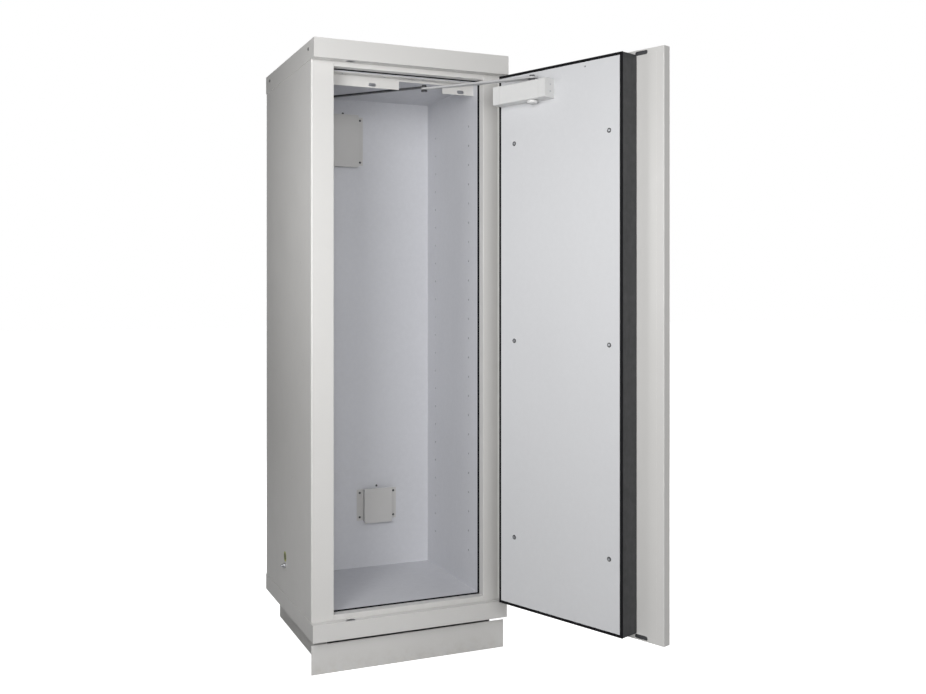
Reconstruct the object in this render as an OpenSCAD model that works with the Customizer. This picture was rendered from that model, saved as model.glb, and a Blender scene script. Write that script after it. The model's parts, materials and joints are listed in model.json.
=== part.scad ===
// Fire-resistant cabinet for storing batteries: an insulated steel body on a plinth, with one
// thick insulated door that hangs on two pivot pins and carries an overhead closer.
// X runs across the front from left to right, Y from the front to the back, and Z up.
// The origin is on the floor, under the centre of the body's plan.

/* [Body] */
// Width across the side panels
body_w = 650; // [640:1:660]
// Depth from the front frame to the rear panel
body_d = 600; // [590:1:620]
// Height from the floor to the roof
total_h = 1940; // [1900:1:1980]
// Thickness of an insulated side wall, which is also the front frame's width
wall_t = 72; // [70:1:74]
// Depth from the front frame to the inner rear panel
inner_d = 488; // [480:1:494]
// Thickness of the outer sheet metal
sheet_t = 1.5; // [1.2:0.1:2]
// Thickness of the inner lining panels
liner_t = 3; // [2:0.5:4]
// Height of the opening's lower edge above the floor
opening_bottom = 175; // [172:1:178]
// Distance from the roof down to the opening's upper edge
opening_drop = 75; // [72:1:78]
// Depth of the painted reveal around the opening
reveal_d = 30; // [26:1:34]

/* [Roof cap and base tray] */
// Height of the roof cap
cap_h = 60; // [54:1:62]
// How far the roof cap stands out in front of the body
cap_overhang = 39; // [36:1:44]
// Height of the base tray
tray_h = 54; // [50:1:56]
// How far the base tray stands out in front of the body
tray_overhang = 27; // [26:1:34]

/* [Plinth] */
// Height of the plinth
plinth_h = 105; // [100:1:110]
// How far the plinth rails stand in from the sides
plinth_inset = 48; // [40:1:60]
// Height of the removable front panel
plinth_panel_h = 91; // [80:1:95]

/* [Door] */
// Angle at which the door stands open
door_open = 111; // [90:1:111]
// Thickness of the sheet-metal leaf
leaf_t = 29; // [27:1:30]
// Thickness of the insulated block on the leaf, with its inner panel
block_t = 71; // [66:1:74]
// Width of the black seal around the inner panel
seal_band = 9; // [7:1:12]

/* [Closer] */
// Length of the closer's body
closer_len = 214; // [200:1:230]
// Length of the main arm between its centres
main_arm_len = 375; // [360:1:390]

/* [Hidden] */

// Colours
light_grey = [0.85, 0.85, 0.83];
blue_grey = [0.66, 0.68, 0.71];
dark_grey = [0.25, 0.25, 0.26];
seal_black = [0.05, 0.05, 0.05];
board_white = [0.88, 0.86, 0.80];
steel = [0.62, 0.63, 0.65];

// Clearances
fit_gap = 0.25;
running_gap = 0.05;
cut = 1;
round_fn = 48;

// Faces of the body
left = -body_w / 2;
right = body_w / 2;
front = -body_d / 2;
back = body_d / 2;
tray_top = plinth_h + tray_h;
cap_bottom = total_h - cap_h;
tray_floor_t = 2;
shell_bottom = plinth_h + tray_floor_t;
shell_top = total_h - sheet_t;
skin_out = fit_gap + sheet_t;

// Opening and interior
open_l = left + wall_t;
open_r = right - wall_t;
open_b = opening_bottom;
open_t = total_h - opening_drop;
seal_d = 14;
seal_proud = 1.2;
inner_front = front + reveal_d + seal_d;
inner_back = front + inner_d;
ceiling_step = 4;
ceiling_z = open_t - ceiling_step;
rear_board_t = 68;

// Edge roundings of the folded sheet
outer_fold_r = 5;
inner_fold_r = 2;
fold_steps = 6;

// Door planes, measured with the door shut
leaf_margin = 2;
leaf_gap = 2.5;
leaf_w = body_w - 2 * leaf_margin;
leaf_x1 = right - leaf_margin;
leaf_y0 = front - leaf_gap - leaf_t;
gap_under_leaf = 7.5;
gap_over_leaf = 13;
leaf_bottom = tray_top + gap_under_leaf;
leaf_top = cap_bottom - gap_over_leaf;
leaf_corner_r = 2;
pivot_inset = 8.5;
pivot = [leaf_x1 - pivot_inset, leaf_y0 + leaf_t / 2, 0];

// Insulated block: a from the hinge edge of the leaf, b from its outer face
block_a = [74, 553];
gap_under_block = 9;
gap_over_block = 11;
block_z = [open_b + gap_under_block, open_t - gap_over_block];
panel_t = 3.5;
panel_recess = 0.5;
core_b = leaf_t + block_t - panel_t - panel_recess;
panel_front_b = core_b + panel_t;
block_front_b = leaf_t + block_t;

// Hinge
pin_r = 4.5;
bush_r = 6.5;
bush_len = 26;
pin_grip = 24;

// Bolts that lock the door to the tray and the cap
bolt_a = 528;
bolt_r = 6;
bolt_b = leaf_t / 2;
bolt_inset = 1.5;
strike_len = 28;
strike_w = 14;
finger_slot_a = 568;
finger_slot_len = 44;
finger_slot_h = 12;
finger_slot_inset = 9.5;
finger_slot_z = [leaf_bottom + finger_slot_inset, leaf_top - finger_slot_inset];

// Lock
handle_a = 580;
handle_z = 1050;
case_a = [515, 605];
case_b = [4, 25];
case_h = 130;
key_drop = 62;
spindle_r = 4;
key_r = 8.5;

// Closer, measured on the shut door
closer_a0 = 88;
closer_h = 58;
closer_b = [panel_front_b, 143];
closer_drop = 111;
closer_z0 = open_t - closer_drop;
closer_top = closer_z0 + closer_h;
spindle_a = 233;
spindle_b = 122;
closer_pin_r = 7;
arm_rise = 8;
arm_z = closer_top + arm_rise;
arm_t = 6;
arm_gap = 0.4;
arm_w = 22;
forearm_t = 5;
forearm_w = 14;
forearm_z = arm_z + arm_t + arm_gap;
shoe_pin_r = 5;
shoe_from_wall = 62;
shoe_from_front = 319;
shoe = [open_l + shoe_from_wall, front + shoe_from_front];

// Vents on the inner rear panel
vent_w = 104;
vent_d = 23;
vent_flange = 23;
vent_sheet_t = 1.5;
lower_vent_x = left + 377;
upper_vent_x = left + 250;
lower_vent_z = [337, 461];
upper_vent_z = [1617, 1804];
duct_w = 90;
duct_d = 36;
duct_wall = 1.5;
spigot_y = back - 80;
spigot_r = 37.5;
spigot_wall = 1.5;
spigot_rise = 30;

// Holes for shelf supports
hole_r = 2.5;
hole_rows = 23;
hole_pitch = 65;
first_hole_z = 299;
hole_depth = 12;
hole_columns = [front + 117, front + 412];

// Helpers ------------------------------------------------------------------------------------

// Box between pairs of planes
module span(x, y, z) {
    translate([x[0], y[0], z[0]])
        cube([x[1] - x[0], y[1] - y[0], z[1] - z[0]]);
}

// Box on the shut door: a from the hinge edge, b from the outer face
module door_span(a, b, z) {
    span([leaf_x1 - a[1], leaf_x1 - a[0]], [leaf_y0 + b[0], leaf_y0 + b[1]], z);
}

// Point on the shut door
function door_at(a, b, z) = [leaf_x1 - a, leaf_y0 + b, z];

// Turns the shut door's parts to where the door stands
module swung() {
    translate(pivot) rotate([0, 0, door_open]) translate(-pivot) children();
}

function turned(p, angle) = [
    p[0] * cos(angle) - p[1] * sin(angle),
    p[0] * sin(angle) + p[1] * cos(angle)
];

function arc(c, r, from, to) = [
    for (i = [0:fold_steps])
        c + r * [cos(from + (to - from) * i / fold_steps), sin(from + (to - from) * i / fold_steps)]
];

// Mirrors a left-hand part to the right
module right_hand() {
    mirror([1, 0, 0]) children();
}

module upright(p, r, z) {
    translate([p[0], p[1], z[0]]) cylinder(r = r, h = z[1] - z[0], $fn = round_fn);
}

// Cylinder along +X
module rod_x(p, r, len) {
    translate(p) rotate([0, 90, 0]) cylinder(r = r, h = len, $fn = round_fn);
}

// Cylinder along +Y
module rod_y(p, r, len) {
    translate(p) rotate([-90, 0, 0]) cylinder(r = r, h = len, $fn = round_fn);
}

// Upright slot with round ends, its length along X
module slot_z(p, len, w, z) {
    for (side = [-1, 1])
        upright([p[0] + side * (len - w) / 2, p[1]], w / 2, z);
    span([p[0] - (len - w) / 2, p[0] + (len - w) / 2], [p[1] - w / 2, p[1] + w / 2], z);
}

// Slot through an upright plate, its length along X and its depth along Y
module slot_y(x, z, len, w, y) {
    for (side = [-1, 1])
        rod_y([x + side * (len - w) / 2, y[0], z], w / 2, y[1] - y[0]);
    span([x - (len - w) / 2, x + (len - w) / 2], y, [z - w / 2, z + w / 2]);
}

// Plinth -------------------------------------------------------------------------------------

rail_w = 50;
rail_t = 2.5;
anchor_r = 5.5;
anchor_x = right - plinth_inset - rail_w / 2;
anchor_y = 225;
rail_front = front + 2;
panel_sheet_t = 2;
panel_y = front - 3;

module side_rail() {
    x0 = left + plinth_inset;
    rail_y = [rail_front, back];
    color(light_grey) difference() {
        span([x0, x0 + rail_w], rail_y, [0, plinth_h]);
        span([x0 + rail_t, x0 + rail_w + cut], [rail_y[0] - cut, rail_y[1] + cut],
             [rail_t, plinth_h - rail_t]);
        for (side = [-1, 1])
            upright([-anchor_x, side * anchor_y], anchor_r, [-cut, rail_t + cut]);
    }
}

module plinth_rail_left() side_rail();
module plinth_rail_right() right_hand() side_rail();

module plinth_rail_rear() {
    inner = right - plinth_inset - rail_w;
    color(light_grey) difference() {
        span([-inner, inner], [back - rail_w, back], [0, plinth_h]);
        span([-inner - cut, inner + cut], [back - rail_w - cut, back - rail_t],
             [rail_t, plinth_h - rail_t]);
    }
}

module plinth_panel() {
    color(light_grey) span([left, right], [panel_y, panel_y + panel_sheet_t], [0, plinth_panel_h]);
}

// Pads that hold the removable panel to the ends of the rails
module plinth_panel_clips() {
    clip_w = 36;
    clip_z = [22, 70];
    color(dark_grey) for (side = [-1, 1])
        span([side * anchor_x - clip_w / 2, side * anchor_x + clip_w / 2],
             [panel_y + panel_sheet_t, rail_front], clip_z);
}

// Outer shell --------------------------------------------------------------------------------

module strike_slot(z) {
    slot_z(door_at(bolt_a, bolt_b, 0), strike_len, strike_w, z);
}

module base_tray() {
    tray_x = [left - skin_out, right + skin_out];
    tray_y = [front - tray_overhang, back + skin_out];
    color(light_grey) difference() {
        span(tray_x, tray_y, [plinth_h, tray_top]);
        span([tray_x[0] + sheet_t, tray_x[1] - sheet_t], [tray_y[0] + sheet_t, tray_y[1] - sheet_t],
             [shell_bottom, tray_top - sheet_t]);
        span([tray_x[0] + sheet_t, tray_x[1] - sheet_t], [front - fit_gap, tray_y[1] - sheet_t],
             [shell_bottom, tray_top + cut]);
        strike_slot([tray_top - sheet_t - cut, tray_top + cut]);
        upright(pivot, pin_r, [tray_top - sheet_t - cut, tray_top + cut]);
    }
}

module top_cap() {
    cap_x = [left - skin_out, right + skin_out];
    cap_y = [front - cap_overhang, back + skin_out];
    color(light_grey) difference() {
        span(cap_x, cap_y, [cap_bottom, total_h]);
        span([cap_x[0] + sheet_t, cap_x[1] - sheet_t], [cap_y[0] + sheet_t, cap_y[1] - sheet_t],
             [cap_bottom + sheet_t, total_h - sheet_t]);
        span([cap_x[0] + sheet_t, cap_x[1] - sheet_t], [front - fit_gap, cap_y[1] - sheet_t],
             [cap_bottom - cut, total_h - sheet_t]);
        strike_slot([cap_bottom - cut, cap_bottom + sheet_t + cut]);
        upright(pivot, pin_r, [cap_bottom - cut, cap_bottom + sheet_t + cut]);
        for (x = [lower_vent_x, upper_vent_x])
            upright([x, spigot_y], spigot_r, [total_h - sheet_t - cut, total_h + cut]);
    }
}

// Button-head screws that hold the cap to the side panels
module cap_screws() {
    head_r = 5;
    head_h = 2.2;
    socket_r = 2.2;
    socket_depth = 1.2;
    screw_y = [front + 26, back - 60];
    screw_z = cap_bottom + 36;
    color(dark_grey) for (side = [-1, 1], y = screw_y)
        translate([side * (right + skin_out), y, screw_z]) rotate([0, side * 90, 0]) difference() {
            cylinder(r = head_r, h = head_h, $fn = round_fn);
            translate([0, 0, head_h - socket_depth]) cylinder(r = socket_r, h = cut + socket_depth, $fn = 6);
        }
}

// Side skin: the outer wall, folded round into the front frame and the reveal
module side_skin() {
    r0 = outer_fold_r;
    r1 = inner_fold_r;
    outside = concat(
        [[left, back - sheet_t]],
        arc([left + r0, front + r0], r0, 180, 270),
        arc([open_l - r1, front + r1], r1, 270, 360),
        [[open_l, front + reveal_d]]
    );
    inside = concat(
        [[open_l - sheet_t, front + reveal_d]],
        arc([open_l - r1, front + r1], r1 - sheet_t, 360, 270),
        arc([left + r0, front + r0], r0 - sheet_t, 270, 180),
        [[left + sheet_t, back - sheet_t]]
    );
    translate([0, 0, shell_bottom]) linear_extrude(shell_top - shell_bottom)
        polygon(concat(outside, inside));
}

earth_y = front + 328;
earth_z = 255;
earth_stud_r = 4;

module side_panel_left() {
    color(light_grey) difference() {
        side_skin();
        rod_x([left - cut, earth_y, earth_z], earth_stud_r, sheet_t + 2 * cut);
    }
}

module side_panel_right() color(light_grey) right_hand() side_skin();

module rear_panel() {
    color(light_grey) span([left, right], [back - sheet_t, back], [shell_bottom, shell_top]);
}

// Angle between the side skins: a face strip and a reveal strip with a rounded fold
module frame_angle(face_z, edge_z, inward) {
    r = inner_fold_r;
    t = sheet_t;
    outline = concat(
        [[front, face_z]],
        inward > 0
            ? arc([front + r, edge_z + r], r, 180, 270)
            : arc([front + r, edge_z - r], r, 180, 90),
        [[front + reveal_d, edge_z], [front + reveal_d, edge_z + inward * t]],
        inward > 0
            ? arc([front + r, edge_z + r], r - t, 270, 180)
            : arc([front + r, edge_z - r], r - t, 90, 180),
        [[front + t, face_z]]
    );
    rotate([90, 0, 90]) translate([0, 0, open_l]) linear_extrude(open_r - open_l) polygon(outline);
}

module front_lintel() color(light_grey) frame_angle(shell_top, open_t, 1);
module front_sill() color(light_grey) frame_angle(shell_bottom, open_b, -1);

// Insulation boards --------------------------------------------------------------------------

floor_board_top = open_b - liner_t;
ceiling_board_bottom = ceiling_z + liner_t;
board_gap = 0.5;
board_front = inner_front + board_gap;

// Holes for the shelf supports, bored from the left lining into the wall
module shelf_holes() {
    for (y = hole_columns, row = [0:hole_rows - 1])
        rod_x([open_l - hole_depth, y, first_hole_z + row * hole_pitch], hole_r, hole_depth + cut);
}

// Board of a side wall, rounded where the skin folds round into the front frame
module side_board() {
    r = outer_fold_r - sheet_t;
    x = [left + sheet_t, open_l - liner_t];
    y = [front + sheet_t, back - sheet_t];
    outline = concat(arc([x[0] + r, y[0] + r], r, 180, 270), [[x[1], y[0]], [x[1], y[1]], [x[0], y[1]]]);
    difference() {
        translate([0, 0, floor_board_top]) linear_extrude(ceiling_board_bottom - floor_board_top)
            polygon(outline);
        shelf_holes();
    }
}

module insulation_left() {
    pocket_r = 14;
    pocket_depth = 16;
    color(board_white) difference() {
        side_board();
        rod_x([left, earth_y, earth_z], pocket_r, pocket_depth);
    }
}

module insulation_right() color(board_white) right_hand() side_board();

module insulation_rear() {
    color(board_white) span([open_l - liner_t, open_r + liner_t],
                            [back - sheet_t - rear_board_t, back - sheet_t],
                            [floor_board_top, ceiling_board_bottom]);
}

module insulation_top() {
    color(board_white) difference() {
        span([left + sheet_t, right - sheet_t], [board_front, back - sheet_t],
             [ceiling_board_bottom, shell_top]);
        for (x = [lower_vent_x, upper_vent_x])
            upright([x, spigot_y], spigot_r, [ceiling_board_bottom - cut, shell_top + cut]);
    }
}

module insulation_bottom() {
    color(board_white) span([left + sheet_t, right - sheet_t], [board_front, back - sheet_t],
                            [shell_bottom, floor_board_top]);
}

// Inner lining -------------------------------------------------------------------------------

module side_liner() {
    color(blue_grey) difference() {
        span([open_l - liner_t, open_l], [inner_front, inner_back + liner_t],
             [floor_board_top, ceiling_board_bottom]);
        shelf_holes();
    }
}

module liner_left() side_liner();
module liner_right() right_hand() side_liner();

// Window in the inner rear panel behind a vent cover
module vent_window(x, z, depth) {
    inset = 10;
    span([x - duct_w / 2 + inset, x + duct_w / 2 - inset], depth, [z[0] + 2 * inset, z[1] - 2 * inset]);
}

module liner_rear() {
    color(blue_grey) difference() {
        span([open_l, open_r], [inner_back, inner_back + liner_t], [open_b, ceiling_z]);
        vent_window(lower_vent_x, lower_vent_z, [inner_back - cut, inner_back + liner_t + cut]);
        vent_window(upper_vent_x, upper_vent_z, [inner_back - cut, inner_back + liner_t + cut]);
    }
}

module liner_floor() {
    color(blue_grey) span([open_l, open_r], [inner_front, inner_back + liner_t],
                          [floor_board_top, open_b]);
}

module liner_ceiling() {
    color(blue_grey) span([open_l, open_r], [inner_front, inner_back + liner_t],
                          [ceiling_z, ceiling_board_bottom]);
}

// Black strip between the reveal and the lining
module frame_seal() {
    strip_y = [inner_front - seal_d, inner_front];
    color(seal_black) difference() {
        span([open_l - liner_t, open_r + liner_t], strip_y, [open_b - liner_t, open_t + liner_t]);
        span([open_l + seal_proud, open_r - seal_proud], [strip_y[0] - cut, strip_y[1] + cut],
             [open_b + seal_proud, open_t - seal_proud]);
    }
}

// Inner fittings -----------------------------------------------------------------------------

plate_y = front + 79;
plate_t = 2;
plate_bottom = open_t - 40;
notch_x = [left + 314, left + 467];
notch_h = 27;
plate_slots = [left + 223, left + 531];
plate_slot_rise = 9;
plate_slot_len = 25;
plate_slot_h = 11;
ceiling_flange_d = 32;

// Angle plate behind the lintel: its flange runs forward under the ceiling, and its upright face
// is notched where the closer's arms pass
module lintel_plate() {
    through = [plate_y - cut, plate_y + plate_t + cut];
    color(light_grey) union() {
        difference() {
            span([open_l, open_r], [plate_y, plate_y + plate_t], [plate_bottom, ceiling_z]);
            span(notch_x, through, [plate_bottom - cut, plate_bottom + notch_h]);
            for (x = plate_slots)
                slot_y(x, plate_bottom + plate_slot_rise, plate_slot_len, plate_slot_h, through);
        }
        span([open_l, open_r], [plate_y - ceiling_flange_d, plate_y + plate_t],
             [ceiling_z - plate_t, ceiling_z]);
    }
}

shoe_w = 74;
shoe_d = 34;
shoe_plate_t = 4;
shoe_hole_inset = 9;
screw_head_r = 4;
screw_head_h = 2;

function shoe_hole(side) = [shoe[0], shoe[1] + side * (shoe_w / 2 - shoe_hole_inset)];

// Pan-head screws under the ceiling: along the plate's flange and through the closer's shoe
module ceiling_screws() {
    flange_z = ceiling_z - plate_t;
    flange_screw_x = [left + 120, left + 260, left + 390, left + 530];
    flange_screw_y = plate_y - 17;
    color(steel) {
        for (x = flange_screw_x)
            upright([x, flange_screw_y], screw_head_r, [flange_z - screw_head_h, flange_z]);
        for (side = [-1, 1])
            upright(shoe_hole(side), screw_head_r,
                    [ceiling_z - shoe_plate_t - screw_head_h, ceiling_z - shoe_plate_t]);
    }
}

// Hat-shaped sheet that stands off the rear wall and is open above and below
module vent_cover(x, z) {
    half = vent_w / 2;
    plate = inner_back - vent_d;
    foot_z = [z[0] + 8, z[1] - 4];
    color(light_grey) union() {
        span([x - half, x + half], [plate, plate + vent_sheet_t], z);
        for (side = [-1, 1]) {
            web = side > 0 ? [x + half - vent_sheet_t, x + half] : [x - half, x - half + vent_sheet_t];
            foot = side > 0 ? [x + half - vent_sheet_t, x + half + vent_flange]
                            : [x - half - vent_flange, x - half + vent_sheet_t];
            span(web, [plate, inner_back], foot_z);
            span(foot, [inner_back - vent_sheet_t, inner_back], foot_z);
        }
    }
}

module lower_vent_cover() vent_cover(lower_vent_x, lower_vent_z);
module upper_vent_cover() vent_cover(upper_vent_x, upper_vent_z);

// Screws at the corners of each cover and one on the wall above it
module vent_screws() {
    from_web = 12;
    from_ends = [20, 16];
    above = 6;
    foot_front = inner_back - vent_sheet_t;
    color(steel) for (vent = [[lower_vent_x, lower_vent_z], [upper_vent_x, upper_vent_z]]) {
        for (side = [-1, 1], z = [vent[1][0] + from_ends[0], vent[1][1] - from_ends[1]])
            rod_y([vent[0] + side * (vent_w / 2 + from_web), foot_front - screw_head_h, z],
                  screw_head_r, screw_head_h);
        rod_y([vent[0], inner_back - screw_head_h, vent[1][1] + above], screw_head_r, screw_head_h);
    }
}

// Perforated inserts in the windows, which swell shut in a fire
module vent_grilles() {
    bar_pitch = 12;
    bar_gap = 6;
    edge = 16;
    ends = [26, 34];
    color(seal_black) for (vent = [[lower_vent_x, lower_vent_z], [upper_vent_x, upper_vent_z]])
        difference() {
            vent_window(vent[0], vent[1], [inner_back, inner_back + liner_t]);
            for (z = [vent[1][0] + ends[0] : bar_pitch : vent[1][1] - ends[1]])
                span([vent[0] - duct_w / 2 + edge, vent[0] + duct_w / 2 - edge],
                     [inner_back - cut, inner_back + liner_t + cut], [z, z + bar_gap]);
        }
}

// Flat duct in the rear wall from a vent up to the roof
module duct(x, z) {
    duct_y = [inner_back + liner_t, inner_back + liner_t + duct_d];
    duct_x = [x - duct_w / 2, x + duct_w / 2];
    color(steel) difference() {
        span(duct_x, duct_y, [z[0], ceiling_board_bottom]);
        span([duct_x[0] + duct_wall, duct_x[1] - duct_wall], [duct_y[0] + duct_wall, duct_y[1] - duct_wall],
             [z[0] + duct_wall, ceiling_board_bottom + cut]);
        vent_window(x, z, [duct_y[0] - cut, duct_y[0] + duct_wall + cut]);
    }
}

module exhaust_duct() duct(lower_vent_x, lower_vent_z);
module supply_duct() duct(upper_vent_x, upper_vent_z);

// Round spigot through the top board and the roof, with a flange on the roof
module spigot(x) {
    flange_r = spigot_r + 10;
    flange_t = 1.5;
    color(light_grey) difference() {
        union() {
            upright([x, spigot_y], spigot_r, [ceiling_board_bottom, total_h + spigot_rise]);
            upright([x, spigot_y], flange_r, [total_h, total_h + flange_t]);
        }
        upright([x, spigot_y], spigot_r - spigot_wall,
                [ceiling_board_bottom - cut, total_h + spigot_rise + cut]);
    }
}

module exhaust_spigot() spigot(lower_vent_x);
module supply_spigot() spigot(upper_vent_x);

// Earthing point on the left side
earth_out = 16;

module earth_stud() {
    washer_r = 8.5;
    washer_t = 1.6;
    nut_r = 7.5;
    nut_h = 6.4;
    inner_nut_r = 10;
    inner_nut_h = 5;
    stud_in = 8;
    color(steel) union() {
        rod_x([left - earth_out, earth_y, earth_z], earth_stud_r, earth_out + sheet_t + stud_in);
        rod_x([left - washer_t, earth_y, earth_z], washer_r, washer_t);
        translate([left - washer_t - nut_h, earth_y, earth_z]) rotate([0, 90, 0])
            cylinder(r = nut_r, h = nut_h, $fn = 6);
        rod_x([left + sheet_t, earth_y, earth_z], inner_nut_r, inner_nut_h);
    }
}

// Blank round label above the stud
module earth_label() {
    label_r = 17;
    label_t = 0.3;
    above_stud = 30;
    color([0.62, 0.66, 0.20]) rod_x([left - label_t, earth_y, earth_z + above_stud], label_r, label_t);
}

// Hinge pins ---------------------------------------------------------------------------------

pin_flange_w = 46;
pin_flange_t = 5;
thrust_gap = 0.5;

// Flange of a hinge pin, welded to the sheet of the tray or the cap
module pin_flange(depth, z) {
    x = right - sheet_t;
    span([x - pin_flange_w, x], [pivot[1] - depth / 2, pivot[1] + depth / 2], [z, z + pin_flange_t]);
}

module hinge_pin_bottom() {
    flange_z = tray_top - sheet_t - pin_flange_t;
    tray_flange_d = 16;
    color(steel) union() {
        upright(pivot, pin_r, [flange_z, leaf_bottom + pin_grip]);
        pin_flange(tray_flange_d, flange_z);
        upright(pivot, bush_r, [tray_top, leaf_bottom - thrust_gap]);
    }
}

module hinge_pin_top() {
    flange_z = cap_bottom + sheet_t;
    cap_flange_d = 20;
    color(steel) union() {
        upright(pivot, pin_r, [leaf_top - pin_grip, flange_z + pin_flange_t]);
        pin_flange(cap_flange_d, flange_z);
    }
}

// Door ---------------------------------------------------------------------------------------

module leaf_outline() {
    r = leaf_corner_r;
    x0 = leaf_x1 - leaf_w;
    y0 = leaf_y0;
    polygon(concat(
        arc([x0 + r, y0 + r], r, 180, 270),
        arc([leaf_x1 - r, y0 + r], r, 270, 360),
        arc([leaf_x1 - r, y0 + leaf_t - r], r, 0, 90),
        arc([x0 + r, y0 + leaf_t - r], r, 90, 180)
    ));
}

// Slots for the fingers in the back of the leaf, over the ends of the bolt guides
module finger_slots(b) {
    for (z = finger_slot_z)
        slot_y(leaf_x1 - finger_slot_a, z, finger_slot_len, finger_slot_h, leaf_y0 * [1, 1] + b);
}

// Sheet-metal leaf: the outer face and four edges, each turned in at the back
lip_w = 26;
hole_room = 1;

module door_leaf() {
    color(light_grey) swung() difference() {
        translate([0, 0, leaf_bottom]) linear_extrude(leaf_top - leaf_bottom) leaf_outline();
        door_span([sheet_t, leaf_w - sheet_t], [sheet_t, leaf_t - sheet_t],
                  [leaf_bottom + sheet_t, leaf_top - sheet_t]);
        door_span([lip_w, leaf_w - lip_w], [leaf_t - 2 * sheet_t, leaf_t + cut],
                  [leaf_bottom + lip_w / 2, leaf_top - lip_w / 2]);
        for (z = [[leaf_bottom - cut, leaf_bottom + 2 * sheet_t],
                  [leaf_top - 2 * sheet_t, leaf_top + cut]]) {
            upright(pivot, bush_r, z);
            upright(door_at(bolt_a, bolt_b, 0), bolt_r + hole_room, z);
        }
        rod_y(door_at(handle_a, -cut, handle_z), spindle_r + hole_room, sheet_t + 2 * cut);
        rod_y(door_at(handle_a, -cut, handle_z - key_drop), key_r + fit_gap, sheet_t + 2 * cut);
        finger_slots([leaf_t - 2 * sheet_t, leaf_t + cut]);
    }
}

// Plate that closes the back of the leaf and carries the insulated block
module door_leaf_back() {
    plate_b = [leaf_t - sheet_t, leaf_t];
    color(light_grey) swung() difference() {
        door_span([lip_w, leaf_w - lip_w], plate_b, [leaf_bottom + lip_w / 2, leaf_top - lip_w / 2]);
        finger_slots(plate_b + cut * [-1, 1]);
    }
}

// Board inside the leaf, cut away for the lock, the bolts, the hinge bushes and the slots
module leaf_insulation() {
    channel_r = 9;
    pocket_h = 30;
    case_room = 8;
    guide_room = 16;
    guide_front = 6;
    case_z = [handle_z - case_h / 2 - case_room, handle_z + case_h / 2 + case_room];
    color(board_white) swung() difference() {
        door_span([sheet_t, leaf_w - sheet_t], [sheet_t, leaf_t - sheet_t],
                  [leaf_bottom + sheet_t, leaf_top - sheet_t]);
        upright(door_at(bolt_a, bolt_b, 0), channel_r, [leaf_bottom, leaf_top]);
        door_span(case_a, [sheet_t - cut, case_b[1]], case_z);
        for (z = [[leaf_bottom, leaf_bottom + pocket_h], [leaf_top - pocket_h, leaf_top]]) {
            door_span([0, 2 * pivot_inset], [0, leaf_t], z);
            door_span([bolt_a - guide_room, leaf_w - lip_w], [guide_front, leaf_t], z);
        }
    }
}

module door_block() {
    color(dark_grey) swung() door_span(block_a, [leaf_t, core_b], block_z);
}

// Inner panel, with two spare fixing holes near its upper edge
module door_inner_panel() {
    spare_hole_a = [102, 419];
    spare_hole_r = 2.5;
    below_edge = 13;
    top_z = block_z[1] - seal_band;
    color([0.83, 0.83, 0.84]) swung() difference() {
        door_span([block_a[0] + seal_band, block_a[1] - seal_band], [core_b, panel_front_b],
                  [block_z[0] + seal_band, top_z]);
        for (a = spare_hole_a)
            rod_y(door_at(a, core_b - cut, top_z - below_edge), spare_hole_r, panel_t + 2 * cut);
    }
}

// Black seal around the inner panel
module door_seal() {
    inner_a = [block_a[0] + seal_band, block_a[1] - seal_band];
    inner_z = [block_z[0] + seal_band, block_z[1] - seal_band];
    color(seal_black) swung() difference() {
        door_span(block_a, [core_b, block_front_b], block_z);
        door_span(inner_a, [core_b - cut, block_front_b + cut], inner_z);
    }
}

panel_screw_a = [139, 507];
panel_screw_z = [402, 1017, 1634];

// Countersunk washers and screws that hold the inner panel and the block
module door_panel_screws() {
    washer_r = 7;
    washer_h = 1.2;
    head_r = 4.5;
    head_h = 0.8;
    socket_r = 2;
    color(steel) swung() for (a = panel_screw_a, z = panel_screw_z) difference() {
        union() {
            rod_y(door_at(a, panel_front_b, z), washer_r, washer_h);
            rod_y(door_at(a, panel_front_b + washer_h, z), head_r, head_h);
        }
        translate(door_at(a, panel_front_b + washer_h, z)) rotate([-90, 0, 0])
            cylinder(r = socket_r, h = head_h + cut, $fn = 6);
    }
}

module hinge_bushes() {
    color([0.75, 0.62, 0.35]) swung()
        for (z = [[leaf_bottom, leaf_bottom + bush_len], [leaf_top - bush_len, leaf_top]])
            difference() {
                upright(pivot, bush_r, z);
                upright(pivot, pin_r + running_gap, [z[0] - cut, z[1] + cut]);
            }
}

// Blocks at the top and bottom of the leaf that guide the two bolts
module bolt_guides() {
    guide_h = 24;
    guide_a = [bolt_a - 14, bolt_a + 62];
    guide_b = [7, 22];
    color(dark_grey) swung()
        for (z = [[leaf_bottom + sheet_t, leaf_bottom + guide_h],
                  [leaf_top - guide_h, leaf_top - sheet_t]])
            difference() {
                door_span(guide_a, guide_b, z);
                upright(door_at(bolt_a, bolt_b, 0), bolt_r + running_gap, [z[0] - cut, z[1] + cut]);
            }
}

module bolt(z) {
    color(steel) swung() upright(door_at(bolt_a, bolt_b, 0), bolt_r, z);
}

module top_bolt() bolt([handle_z + case_h / 2 + bolt_inset, leaf_top - bolt_inset]);
module bottom_bolt() bolt([leaf_bottom + bolt_inset, handle_z - case_h / 2 - bolt_inset]);

// Lock ---------------------------------------------------------------------------------------

module lock_case() {
    hole_len = 12;
    color(steel) swung() difference() {
        door_span(case_a, case_b, [handle_z - case_h / 2, handle_z + case_h / 2]);
        rod_y(door_at(handle_a, case_b[0] - cut, handle_z), spindle_r + running_gap, hole_len);
        rod_y(door_at(handle_a, case_b[0] - cut, handle_z - key_drop), key_r + running_gap, hole_len);
    }
}

handle_plate_t = 5;

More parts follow.
